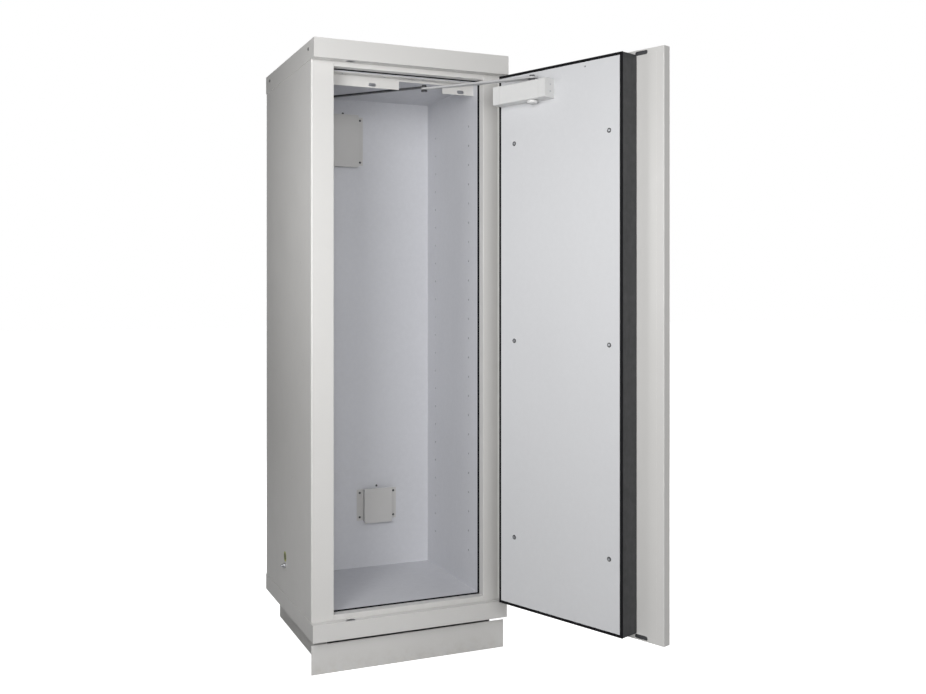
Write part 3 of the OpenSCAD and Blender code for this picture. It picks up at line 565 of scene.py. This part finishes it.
def lathe(mesh, rings, at, axis, steps=48):
    """Turns a profile about an axis. A ring is (radius, height), and its radius may be a function
    of the angle, for a hexagon or a recess. A radius of 0 closes the end with a point."""
    place = turned_frame(at, axis)
    loops = []
    for radius, height in rings:
        if not callable(radius) and radius == 0:
            loops.append([mesh.verts.new(place @ Vector((0, 0, height)))])
            continue
        loop = []
        for step in range(steps):
            angle = TURN * step / steps
            r = radius(angle) if callable(radius) else radius
            point = Vector((r * math.cos(angle), r * math.sin(angle), height))
            loop.append(mesh.verts.new(place @ point))
        loops.append(loop)
    for low, high in zip(loops, loops[1:]):
        for step in range(steps):
            after = (step + 1) % steps
            corners = [low[step % len(low)], low[after % len(low)],
                       high[after % len(high)], high[step % len(high)]]
            unique = list(dict.fromkeys(corners))
            if len(unique) > 2:
                mesh.faces.new(unique)
    for loop in (loops[0], loops[-1]):
        if len(loop) > 1:
            mesh.faces.new(loop)


def join_loops(mesh, loops):
    """Skins the gap between each closed loop of points and the next."""
    for here, there in zip(loops, loops[1:]):
        for i in range(len(here)):
            j = (i + 1) % len(here)
            mesh.faces.new([here[i], here[j], there[j], there[i]])


def lathe_tube(mesh, rings, at, axis, steps):
    """Turns a closed profile, which ends where it starts, into a hollow ring."""
    place = turned_frame(at, axis)
    turns = [(math.cos(TURN * i / steps), math.sin(TURN * i / steps)) for i in range(steps)]
    loops = [[mesh.verts.new(place @ Vector((radius * c, radius * s, height))) for c, s in turns]
             for radius, height in rings[:-1]]
    join_loops(mesh, loops + loops[:1])


def hexagon_radius(flats):
    """Radius of a hexagon as a function of the angle, from its width across flats."""
    part = TURN / 6
    return lambda angle: flats / 2 / math.cos((angle % part) - part / 2)


def recess_radius(reach, width, arms):
    """Radius of a straight slot (2 arms) or a cross (4 arms) as a function of the angle."""
    part = TURN / arms
    least_sine = 1e-6

    def radius(angle):
        off = abs((angle + part / 2) % part - part / 2)
        return min(reach, width / 2 / max(math.sin(off), least_sine))
    return radius


def screw_rings(radius, height, recess, depth):
    """Profile of a domed screw head with a recess in its crown."""
    return [
        (radius, 0),
        (radius, 0.35 * height),
        (0.96 * radius, 0.62 * height),
        (0.84 * radius, 0.86 * height),
        (0.66 * radius, height),
        (recess, height),
        (recess, height - depth),
        (0, height - depth * 1.15),
    ]


def screws(name, node, axis, recess, body, material, space=HERE, mirrored=False):
    """Replaces each plain head of a CAD node by a screw head along axis, in the given space.
    Mirrored heads lie on both sides of the cabinet and point away from its middle."""
    mesh = bmesh.new()
    flat = max(range(3), key=lambda i: abs(axis[i]))
    for low, high in islands(node, space):
        middle = (low + high) / 2
        across = max(high[i] - low[i] for i in range(3) if i != flat)
        tall = high[flat] - low[flat]
        way = Vector(axis)
        if mirrored:
            way.x = math.copysign(way.x, middle.x)
        foot = middle - way * tall / 2
        lathe(mesh, screw_rings(across / 2, tall, recess(across), tall * 0.6), foot, way)
    add_piece(name, mesh, material, body, (node,), space)


def sweep_ring(mesh, profile, low, high, place):
    """Sweeps a closed profile round a rectangle with mitred corners. A profile point is
    (distance inwards from the rectangle, distance along the ring's own axis)."""
    corners = [(low[0], low[1], 1, 1), (high[0], low[1], -1, 1), (high[0], high[1], -1, -1),
               (low[0], high[1], 1, -1)]
    loops = []
    for x, z, in_x, in_z in corners:
        loops.append([mesh.verts.new(place(x + in_x * t, z + in_z * t, h)) for t, h in profile])
    join_loops(mesh, loops + loops[:1])


def rounded_strip(width, depth, radius, steps=4):
    """Closed outline of a strip whose two corners at full depth are rounded."""
    points = [(0, 0)]
    for centre, start in ((Vector((radius, depth - radius)), math.pi),
                          (Vector((width - radius, depth - radius)), math.pi / 2)):
        for i in range(steps + 1):
            angle = start - math.pi / 2 * i / steps
            points.append((centre.x + radius * math.cos(angle), centre.y + radius * math.sin(angle)))
    points.append((width, 0))
    return points


# -------- seals

def door_seal():
    """Black strip round the inner panel: rounded outside, with a groove beside the panel."""
    low, high = span_of("door_seal", DOOR)
    width = span_of("door_inner_panel", DOOR)[0].x - low.x
    depth = high.y - low.y
    groove = 0.9 * MM
    outline = rounded_strip(width - groove, depth, 1.6 * MM)
    outline += [(width - groove, depth * 0.45), (width, depth * 0.45), (width, 0)]
    outline.remove((width - groove, 0))
    mesh = bmesh.new()
    sweep_ring(mesh, outline, (low.x, low.z), (high.x, high.z),
               lambda x, z, h: Vector((x, low.y + h, z)))
    add_piece("door_seal_strip", mesh, "seal", "door", ("door_seal",), DOOR)


def frame_seal():
    """Black strip round the opening, with two low ribs that stand proud of the lining."""
    low, high = span_of("frame_seal")
    depth = high.y - low.y
    inner_edge = max(v.co.x for v in NODES["frame_seal"].data.vertices if v.co.x < 0)
    width = inner_edge - low.x
    rib_radius = 1.4 * MM
    groove = 0.7 * MM
    steps = 5
    profile = [(0, 0), (0, depth)]
    for start, end in ((depth, depth / 2), (depth / 2, 0)):
        middle = (start + end) / 2
        half = (start - end) / 2 - 0.4 * MM
        profile.append((width - groove, start - 0.2 * MM if start < depth else depth))
        for i in range(steps + 1):
            angle = math.pi / 2 - math.pi * i / steps
            flat = half - rib_radius
            shift = flat if angle > 0 else -flat
            profile.append((width - rib_radius + rib_radius * math.cos(angle),
                            middle + shift + rib_radius * math.sin(angle)))
    profile.append((width - groove, 0))
    mesh = bmesh.new()
    sweep_ring(mesh, profile, (low.x, low.z), (high.x, high.z),
               lambda x, z, h: Vector((x, low.y + h, z)))
    add_piece("frame_seal_strip", mesh, "seal", "cabinet", ("frame_seal",))


door_seal()
frame_seal()


# -------- screws

def hex_socket(across):
    return hexagon_radius(across * 0.42)


def cross_socket(across):
    return recess_radius(across * 0.27, across * 0.1, 4)


def slot_socket(across):
    return recess_radius(across * 0.4, across * 0.14, 2)


screws("cap_button_screws", "cap_screws", (1, 0, 0), hex_socket, "cabinet", "dark_fittings", mirrored=True)
screws("vent_pan_screws", "vent_screws", (0, -1, 0), cross_socket, "cabinet", "dark_fittings")
screws("ceiling_pan_screws", "ceiling_screws", (0, 0, -1), cross_socket, "cabinet", "zinc_steel")
screws("closer_adjusters", "closer_valve_screws", (1, 0, 0), slot_socket, "door", "zinc_steel", DOOR)


def panel_screws():
    """Dark cup washers, and the zinc-plated socket screws in them that hold the inner panel."""
    inwards = (0, 1, 0)
    cups = bmesh.new()
    heads = bmesh.new()
    for low, high in islands("door_panel_screws", DOOR):
        middle = (low + high) / 2
        foot = Vector((middle.x, low.y, middle.z))
        cup = (high.x - low.x) / 2
        tall = high.y - low.y
        head = cup * 0.58
        socket = hexagon_radius(cup * 0.5)
        lathe(cups, [(cup, 0), (cup, tall * 0.22), (cup * 0.93, tall * 0.5), (cup * 0.8, tall * 0.7),
                     (head * 1.12, tall * 0.5), (head * 1.1, 0)], foot, inwards)
        lathe(heads, [(head, 0), (head, tall * 0.86), (head * 0.85, tall), (socket, tall),
                      (socket, tall * 0.3), (0, tall * 0.25)], foot, inwards)
    replaced = ("door_panel_screws",)
    add_piece("panel_cup_washers", cups, "dark_fittings", "door", replaced, DOOR)
    add_piece("panel_screw_heads", heads, "zinc_steel", "door", replaced, DOOR)


panel_screws()


# -------- earthing point

def earth_stud():
    """M8 stud with a hexagon nut and a washer, on the left side panel."""
    low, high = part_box("earth_stud")
    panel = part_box("side_panel_left")[0].x
    centre = (low + high) / 2
    foot = Vector((panel, centre.y, centre.z))
    outwards = Vector((-1, 0, 0))
    reach = panel - low.x
    thread_r = 4 * MM
    root_r = thread_r * 0.86
    crest_r = thread_r * 0.99
    pitch = 1.25 * MM
    washer_r = 8.5 * MM
    washer_t = 1.6 * MM
    nut_top = 8.0 * MM
    flats = 13 * MM
    mesh = bmesh.new()
    rings = [(root_r, -2 * MM), (root_r, nut_top - 0.4 * MM)]
    height = nut_top - 0.2 * MM
    while height + pitch < reach - 0.8 * MM:
        rings += [(root_r, height), (crest_r, height + pitch * 0.35), (crest_r, height + pitch * 0.55)]
        height += pitch
    rings += [(thread_r * 0.84, reach - 0.5 * MM), (thread_r * 0.68, reach), (0, reach)]
    lathe(mesh, rings, foot, outwards)
    lathe(mesh, [(washer_r - 0.2 * MM, 0), (washer_r, 0.3 * MM), (washer_r, washer_t - 0.3 * MM),
                 (washer_r - 0.3 * MM, washer_t)], foot, outwards)
    nut = hexagon_radius(flats)

    def chamfered(limit):
        return lambda angle: min(nut(angle), limit)
    lathe(mesh, [(chamfered(flats * 0.5), washer_t), (chamfered(flats * 0.55), washer_t + 0.6 * MM),
                 (nut, washer_t + 1.3 * MM), (nut, nut_top - 0.9 * MM),
                 (chamfered(flats * 0.55), nut_top - 0.4 * MM), (chamfered(flats * 0.5), nut_top)],
          foot, outwards)
    add_piece("earth_bolt", mesh, "zinc_steel", "cabinet", ("earth_stud",))


def earth_label():
    """Blank round label above the stud: a yellow-green rim round a raised dark centre."""
    low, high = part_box("earth_label")
    centre = (low + high) / 2
    radius = (high.y - low.y) / 2
    inner = radius * 0.66
    thick = high.x - low.x
    foot = (high.x, centre.y, centre.z)
    outwards = (-1, 0, 0)
    rim = bmesh.new()
    lathe(rim, [(radius, 0), (radius, thick * 0.6), (radius * 0.985, thick * 0.8), (inner, thick * 0.8),
                (inner, 0)], foot, outwards)
    disc = bmesh.new()
    lathe(disc, [(inner, 0), (inner, thick * 0.85), (inner * 0.97, thick), (0, thick)], foot, outwards)
    add_piece("earth_label_rim", rim, "earth_sticker", "cabinet", ("earth_label",))
    add_piece("earth_label_centre", disc, "label_centre", "cabinet", ("earth_label",))


earth_stud()
earth_label()


# -------- duct spigots on the roof

def spigot(name, node):
    """Duct spigot with a stiffening bead, a rolled rim and a riveted flange."""
    low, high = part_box(node)
    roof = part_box("top_cap")[1].z
    centre = (low + high) / 2
    foot = Vector((centre.x, centre.y, low.z))
    outer = 37.5 * MM
    inner = 36 * MM
    tall = high.z - low.z
    deck = roof - low.z
    flange = (high.x - low.x) / 2
    foot_ring = [(inner, 0), (outer, 0), (outer, deck), (flange, deck), (flange, deck + 1.1 * MM),
                 (flange - 0.6 * MM, deck + 1.5 * MM), (outer + 1.6 * MM, deck + 1.5 * MM),
                 (outer, deck + 2.6 * MM)]
    bead = [(outer, tall - 14 * MM), (outer + 1.2 * MM, tall - 12 * MM),
            (outer + 1.2 * MM, tall - 10.5 * MM), (outer, tall - 8.5 * MM)]
    rim = [(outer, tall - 1.2 * MM), (outer - 0.4 * MM, tall - 0.2 * MM),
           (inner + 0.4 * MM, tall - 0.2 * MM), (inner, tall - 1.2 * MM)]
    mesh = bmesh.new()
    lathe_tube(mesh, foot_ring + bead + rim + [(inner, 0)], foot, (0, 0, 1), 72)
    rivets = 6
    for index in range(rivets):
        angle = TURN * (index + 0.5) / rivets
        out = (flange + outer) / 2 + 0.8 * MM
        at = foot + Vector((out * math.cos(angle), out * math.sin(angle), deck + 1.4 * MM))
        lathe(mesh, [(2.4 * MM, 0), (2.3 * MM, 0.5 * MM), (1.6 * MM, 1.0 * MM), (0.7 * MM, 1.2 * MM),
                     (0, 1.1 * MM)], at, (0, 0, 1), 20)
    add_piece(name, mesh, "coated_steel", "cabinet", (node,))


spigot("exhaust_collar", "exhaust_spigot")
spigot("supply_collar", "supply_spigot")


# -------- lever handle

def lever():
    """Curved lever with a round hub on the door's outer face."""
    low, high = span_of("door_handle", DOOR)
    hub_z = JOINTS["handle_turn"]["pos_m"][2]
    hub_x = (DOOR.inverted() @ Vector(JOINTS["handle_turn"]["pos_m"])).x
    neck = span_of("handle_plate", DOOR)[0].y - 0.5 * MM
    outer = low.y
    half = (high.z - low.z) / 2
    hub = [(half * 0.95, neck), (half * 0.95, neck - 2 * MM), (half * 0.74, neck - 4 * MM),
           (half * 0.8, outer + 13 * MM), (half * 0.98, outer + 10 * MM), (half * 0.98, outer + 1.5 * MM)]
    mesh = bmesh.new()
    lathe(mesh, hub, (hub_x, 0, hub_z), (0, 1, 0))
    root = hub_x + half * 0.2
    length = root - low.x
    stations = 22
    sides = 20
    tip_from = 0.93
    thinnest = 0.05
    squareness = 0.7
    loops = []
    for index in range(stations + 1):
        t = index / stations
        swell = 0.80 + 0.14 * math.sin(math.pi * t)
        into_tip = max(0.0, (t - tip_from) / (1 - tip_from))
        tip = max(math.sqrt(max(0.0, 1 - into_tip ** 2)), thinnest)
        tall = half * 0.86 * swell * tip
        deep = 5.4 * MM * (1 - 0.15 * t) * tip
        middle = outer + 6 * MM + 3.5 * MM * t ** 3
        loop = []
        for side in range(sides):
            across = math.cos(TURN * side / sides)
            depth = math.sin(TURN * side / sides)
            loop.append(mesh.verts.new((root - length * t,
                                        middle + deep * math.copysign(abs(depth) ** squareness, depth),
                                        hub_z + tall * math.copysign(abs(across) ** squareness, across))))
        loops.append(loop)
    join_loops(mesh, loops)
    mesh.faces.new(loops[0])
    mesh.faces.new(loops[-1])
    add_piece("door_lever", mesh, "dark_fittings", "handle", ("door_handle",), DOOR)


lever()


# -------- closer

def extrude_outline(mesh, outline, low, high, place):
    """Solid between two copies of an outline."""
    bottom = [mesh.verts.new(place(p[0], p[1], low)) for p in outline]
    top = [mesh.verts.new(place(p[0], p[1], high)) for p in outline]
    mesh.faces.new(bottom)
    mesh.faces.new(top)
    join_loops(mesh, [bottom, top])


def arc_points(centre, radius, start, end, steps=8):
    angles = [start + (end - start) * i / steps for i in range(steps + 1)]
    return [(centre[0] + radius * math.cos(a), centre[1] + radius * math.sin(a)) for a in angles]


def closer_housing():
    """Cast housing with rounded long edges, and an end cap at each end with a fine joint."""
    low, high = span_of("closer_body", DOOR)
    cap_len = 26 * MM
    joint = 0.8 * MM
    corner = 4 * MM

    def outline(inset):
        x0, x1 = low.y, high.y - inset
        z0, z1 = low.z + inset, high.z - inset
        return ([(x0, z0)]
                + arc_points((x1 - corner, z0 + corner), corner, -math.pi / 2, 0)
                + arc_points((x1 - corner, z1 - corner), corner, 0, math.pi / 2)
                + [(x0, z1)])
    mesh = bmesh.new()
    stretches = [
        (low.x, low.x + cap_len, 0.0),
        (low.x + cap_len, low.x + cap_len + joint, 0.8 * MM),
        (low.x + cap_len + joint, high.x - cap_len - joint, 0.2 * MM),
        (high.x - cap_len - joint, high.x - cap_len, 0.8 * MM),
        (high.x - cap_len, high.x, 0.0),
    ]
    for start, end, inset in stretches:
        extrude_outline(mesh, outline(inset), start, end, lambda y, z, x: Vector((x, y, z)))
    add_piece("closer_housing", mesh, "closer_paint", "door", ("closer_body",), DOOR,
              0.7 * MM)


def closer_main_arm():
    """Forged arm that tapers from a broad eye on the spindle to the elbow's eye."""
    low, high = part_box("closer_arm")
    start = Vector(JOINTS["closer_arm_turn"]["pos_m"])
    elbow = (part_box("closer_elbow")[0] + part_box("closer_elbow")[1]) / 2
    run = Vector((elbow.x - start.x, elbow.y - start.y, 0))
    length = run.length
    run.normalize()
    side = Vector((-run.y, run.x, 0))
    wide = 14 * MM
    narrow = 9.5 * MM
    tilt = math.asin((wide - narrow) / length)
    outline = (arc_points((0, 0), wide, math.pi / 2 - tilt, 3 * math.pi / 2 + tilt, 20)
               + arc_points((length, 0), narrow, -math.pi / 2 + tilt, math.pi / 2 - tilt, 16))
    base = Vector((start.x, start.y, 0))

    def place(x, y, z):
        return base + run * x + side * y + Vector((0, 0, z))
    mesh = bmesh.new()
    extrude_outline(mesh, outline, low.z, high.z, place)
    rib = 3.0 * MM
    rib_end = length - narrow * 1.4
    ridge = [(wide * 0.9, -rib), (rib_end, -rib * 0.7), (rib_end, rib * 0.7), (wide * 0.9, rib)]
    extrude_outline(mesh, ridge, low.z - 1.2 * MM, low.z + 0.5 * MM, place)
    add_piece("closer_forged_arm", mesh, "arm_paint", "closer_main_arm", ("closer_arm",),
              HERE, 1.0 * MM)


def closer_spindle():
    """Round cap below the closer, the spindle's collar above it and a nut on the arm."""
    low, high = span_of("closer_spindle", DOOR)
    body_low, body_high = span_of("closer_body", DOOR)
    arm_top = span_of("closer_arm", DOOR)[1].z
    at = Vector(((low.x + high.x) / 2, (low.y + high.y) / 2, 0))
    cap = (high.x - low.x) / 2
    up = (0, 0, 1)
    cap_top = body_low.z - 0.5 * MM
    painted = bmesh.new()
    lathe(painted, [(0, low.z), (cap * 0.72, low.z), (cap * 0.9, low.z + 1.2 * MM),
                    (cap, low.z + 3.5 * MM), (cap, cap_top), (0, cap_top)], at, up)
    steel = bmesh.new()
    stem = 6.9 * MM
    collar = 11 * MM
    collar_low = body_high.z + 0.5 * MM
    neck = collar * 0.86
    lathe(steel, [(stem, cap_top - 1 * MM), (stem, collar_low), (collar, collar_low),
                  (collar, collar_low + 2 * MM), (neck, collar_low + 3 * MM), (neck, high.z - 1 * MM),
                  (collar * 0.95, high.z), (0, high.z)], at, up)
    nut = bmesh.new()
    flats = hexagon_radius(15 * MM)
    washer_r = 11 * MM
    washer_top = arm_top + 1.2 * MM
    nut_top = washer_top + 4.5 * MM
    lathe(nut, [(washer_r, arm_top), (washer_r, washer_top - 0.3 * MM), (washer_r - 0.3 * MM, washer_top),
                (0, washer_top)], at, up)
    lathe(nut, [(flats, washer_top), (flats, nut_top - 0.8 * MM), (7.2 * MM, nut_top), (4.2 * MM, nut_top),
                (4 * MM, nut_top - 0.6 * MM), (0, nut_top - 0.6 * MM)], at, up)
    body = "closer_main_arm"
    replaced = ("closer_spindle",)
    add_piece("closer_cap", painted, "closer_paint", body, replaced, DOOR)
    add_piece("closer_collar", steel, "dark_fittings", body, replaced, DOOR)
    add_piece("closer_arm_nut", nut, "dark_fittings", body, (), DOOR)


def closer_elbow():
    """Ball joint under the main arm's outer eye: dark socket, bright ball and a riveted stud."""
    low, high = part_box("closer_elbow")
    at = Vector(((low.x + high.x) / 2, (low.y + high.y) / 2, 0))
    arm_low, arm_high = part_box("closer_arm")
    reach = (high.x - low.x) / 2
    up = (0, 0, 1)
    socket = bmesh.new()
    lathe(socket, [(reach * 0.5, low.z + 1.5 * MM), (reach * 0.92, low.z + 2 * MM),
                   (reach, low.z + 3 * MM), (reach, arm_low.z - 2 * MM),
                   (reach * 0.85, arm_low.z - 0.6 * MM), (reach * 0.6, arm_low.z)], at, up)
    ball = bmesh.new()
    stud = 4.9 * MM
    lathe(ball, [(0, low.z), (reach * 0.25, low.z + 0.15 * MM), (reach * 0.42, low.z + 0.7 * MM),
                 (reach * 0.5, low.z + 1.6 * MM), (stud, arm_low.z - 0.5 * MM),
                 (stud, arm_high.z - 0.4 * MM), (stud * 0.8, arm_high.z), (0, arm_high.z)], at, up)
    body = "closer_main_arm"
    replaced = ("closer_elbow",)
    add_piece("closer_ball_socket", socket, "black_arm", body, replaced)
    add_piece("closer_ball_stud", ball, "zinc_steel", body, replaced)


closer_housing()
closer_main_arm()
closer_spindle()
closer_elbow()


# -------- small marks and beads

def strike_rims():
    """Thin steel rims round the slots that take the two bolts, in the tray and in the cap."""
    bolt_low, bolt_high = span_of("top_bolt", DOOR)
    middle = (bolt_low + bolt_high) / 2
    at = Vector((pivot.x - middle.x, pivot.y + middle.y, 0))
    slot_w = 14 * MM
    slot_len = 28 * MM
    rim_w = 2.2 * MM
    thick = 0.5 * MM
    reach = (slot_len - slot_w) / 2
    profile = [(rim_w, 0), (rim_w, thick * 0.6), (rim_w * 0.8, thick), (0.2 * MM, thick), (0, thick * 0.6),
               (0, -1.5 * MM)]
    mesh = bmesh.new()
    for z, up in ((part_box("base_tray")[1].z, 1), (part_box("top_cap")[0].z, -1)):
        rings = []
        for grow, height in profile:
            radius = slot_w / 2 + grow
            outline = (arc_points((reach, 0), radius, -math.pi / 2, math.pi / 2, 12)
                       + arc_points((-reach, 0), radius, math.pi / 2, 3 * math.pi / 2, 12))
            rings.append([mesh.verts.new((at.x + x, at.y + y, z + up * height)) for x, y in outline])
        join_loops(mesh, rings + rings[:1])
    add_piece("strike_rims", mesh, "zinc_steel", "cabinet")


def corner_beads():
    """Tooled bead of sealant along every inner corner of the lining, its pale colour partly a painted highlight.
    """
    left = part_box("liner_left")[1].x
    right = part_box("liner_right")[0].x
    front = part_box("frame_seal")[1].y + 0.3 * MM
    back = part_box("liner_rear")[0].y
    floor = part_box("liner_floor")[1].z
    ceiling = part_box("liner_ceiling")[0].z
    size = 1.5 * MM
    edge_across = Vector((0, -1, 0))
    runs = []
    for x, in_x in ((left, Vector((1, 0, 0))), (right, Vector((-1, 0, 0)))):
        for z, in_z in ((floor, Vector((0, 0, 1))), (ceiling, Vector((0, 0, -1)))):
            runs.append((Vector((x, front, z)), Vector((x, back, z)), in_x, in_z))
        runs.append((Vector((x, back, floor)), Vector((x, back, ceiling)), in_x, edge_across))
    for z, in_z in ((floor, Vector((0, 0, 1))), (ceiling, Vector((0, 0, -1)))):
        runs.append((Vector((left, back, z)), Vector((right, back, z)), edge_across, in_z))
    steps = 5
    mesh = bmesh.new()
    for start, end, first, second in runs:
        shape = [Vector((0, 0, 0)), first * size]
        for i in range(1, steps):
            angle = math.pi / 2 * i / steps
            hollow = first * (1 - math.sin(angle)) + second * (1 - math.cos(angle))
            shape.append(hollow * 0.9 * size + (first + second) * 0.1 * size * math.sin(2 * angle))
        shape.append(second * size)
        loops = [[mesh.verts.new(end_point + offset) for offset in shape] for end_point in (start, end)]
        join_loops(mesh, loops)
        mesh.faces.new(loops[0])
        mesh.faces.new(loops[1])
    add_piece("lining_corner_beads", mesh, "sealant", "cabinet")


def shelf_hole_edges():
    """Dark core of the laminate, laid bare round the mouth of every shelf-support hole."""
    pitch = 65 * MM
    bore = 2.5 * MM
    mouth = 3.2 * MM
    proud = 0.12 * MM
    sunk = -0.5 * MM
    rings = [(bore, sunk), (mouth, sunk), (mouth, proud * 0.5), (bore, proud), (bore, sunk)]
    mesh = bmesh.new()
    grids = [mount for mount in frame["record"]["mounts"] if mount["name"].startswith("shelf_holes")]
    for grid in grids:
        centre = Vector(grid["pos_m"])
        deep = grid["dims"]["spacing_x_mm"] * MM
        tall = grid["dims"]["spacing_y_mm"] * MM
        rows = round(tall / pitch) + 1
        for y in (centre.y - deep / 2, centre.y + deep / 2):
            for row in range(rows):
                at = Vector((centre.x, y, centre.z - tall / 2 + row * pitch))
                lathe_tube(mesh, rings, at, grid["axis"], 20)
    add_piece("shelf_hole_edges", mesh, "laminate_core", "cabinet")


strike_rims()
corner_beads()
shelf_hole_edges()


# -------- stage, light and camera

WHITE = (1, 1, 1, 1)


def lit_outside(s, low, high):
    """0 under the cabinet's footprint, rising to 1 at the footprint's edge."""
    fade = 50 * MM
    shifted = s.node("VectorMath", operation="SUBTRACT")
    shifted.inputs[1].default_value = (low + high) / 2
    s.link(s.place, shifted.inputs[0])
    size = s.node("VectorMath", operation="ABSOLUTE")
    s.link(shifted.outputs[0], size.inputs[0])
    split = s.node("SeparateXYZ")
    s.link(size.outputs[0], split.inputs[0])
    widest = s.node("Math", operation="MAXIMUM")
    for index, reach in enumerate((high - low).xy / 2):
        ramp = s.node("MapRange", interpolation_type="SMOOTHSTEP")
        ramp.inputs["From Min"].default_value = reach - fade
        ramp.inputs["From Max"].default_value = reach
        s.link(split.outputs[index], ramp.inputs["Value"])
        s.link(ramp.outputs["Result"], widest.inputs[index])
    return widest.outputs[0]


def stage_floor():
    """Pale seamless floor that shines white into the lens, except under the cabinet."""
    half = 30.0
    corners = [(-half, -half, 0), (half, -half, 0), (half, half, 0), (-half, half, 0)]
    data = bpy.data.meshes.new("studio_floor")
    data.from_pydata(corners, [], [(0, 1, 2, 3)])
    floor = put_in_scene("studio_floor", data)
    s = Shader("studio_floor", (0.5, 0.5, 0.5), 0.9, specular=0.1)
    s.bsdf.inputs["Emission Color"].default_value = WHITE
    low = Vector((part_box("plinth_rail_left")[0].x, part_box("plinth_panel")[0].y, 0))
    high = Vector((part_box("plinth_rail_right")[1].x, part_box("plinth_rail_rear")[1].y, 0))
    seen = s.node("LightPath").outputs["Is Camera Ray"]
    s.link(s.times(seen, lit_outside(s, low, high)), s.bsdf.inputs["Emission Strength"])
    data.materials.append(s.done())
    floor.location.z = -0.5 * MM


def studio_world():
    """White background behind the cabinet, and dimmer white light from all round."""
    ambient = 0.06
    world = bpy.data.worlds.new("studio")
    bpy.context.scene.world = world
    world.use_nodes = True
    tree = world.node_tree
    tree.nodes.clear()
    out = tree.nodes.new("ShaderNodeOutputWorld")
    mix = tree.nodes.new("ShaderNodeMixShader")
    path = tree.nodes.new("ShaderNodeLightPath")
    seen = tree.nodes.new("ShaderNodeBackground")
    light = tree.nodes.new("ShaderNodeBackground")
    seen.inputs["Color"].default_value = WHITE
    seen.inputs["Strength"].default_value = 1.0
    light.inputs["Color"].default_value = (0.98, 0.99, 1.0, 1)
    light.inputs["Strength"].default_value = ambient
    tree.links.new(path.outputs["Is Camera Ray"], mix.inputs["Fac"])
    tree.links.new(light.outputs[0], mix.inputs[1])
    tree.links.new(seen.outputs[0], mix.inputs[2])
    tree.links.new(mix.outputs[0], out.inputs["Surface"])


def soft_light(name, at, towards, size, power):
    """Rectangular soft box that the camera doesn't see; power is in watts."""
    data = bpy.data.lights.new(name, "AREA")
    data.shape = "RECTANGLE"
    data.size, data.size_y = size
    data.energy = power
    lamp = put_in_scene(name, data)
    lamp.location = at
    aim = Vector(towards) - Vector(at)
    lamp.rotation_euler = aim.to_track_quat("-Z", "Y").to_euler()
    lamp.visible_camera = False


def camera():
    """Eye-level camera to the left of the cabinet's front, held level with a shifted lens."""
    data = bpy.data.cameras.new("camera")
    data.sensor_width = 36.0
    data.lens = 39.65
    data.shift_x = 0.01207
    data.shift_y = -0.05859
    eye = put_in_scene("camera", data)
    eye.location = (-1.1534, -3.3290, 1.1674)
    eye.rotation_euler = (math.radians(90), 0, math.radians(-23.149))
    bpy.context.scene.camera = eye


stage_floor()
studio_world()
soft_light("key", (-0.6, -3.4, 1.6), (0.05, 0.0, 1.1), (1.6, 1.6), 48)
soft_light("front_left", (-1.55, -2.0, 1.75), (0.0, -0.2, 1.0), (0.8, 1.4), 30)
soft_light("left", (-1.3, -0.5, 1.5), (-0.3, -0.28, 1.4), (0.4, 0.9), 4.5)
soft_light("side_card", (-3.4, 5.0, 2.3), (-0.3, 0.0, 1.1), (1.8, 1.8), 5)
soft_light("right", (1.9, -2.6, 2.1), (0.0, -0.2, 1.0), (0.8, 1.4), 7)
soft_light("rear", (1.6, 3.0, 2.2), (0, 0, 1.0), (2.0, 1.6), 40)
soft_light("above", (0.6, 0.9, 4.2), (0.1, 0.2, 1.9), (1.8, 1.8), 34)
soft_light("hinge_side", (4.0, 0.7, 1.9), (0.3, -0.3, 1.0), (1.6, 2.2), 44)
camera()
bpy.context.scene.view_settings.view_transform = "Standard"

bpy.context.view_layer.update()
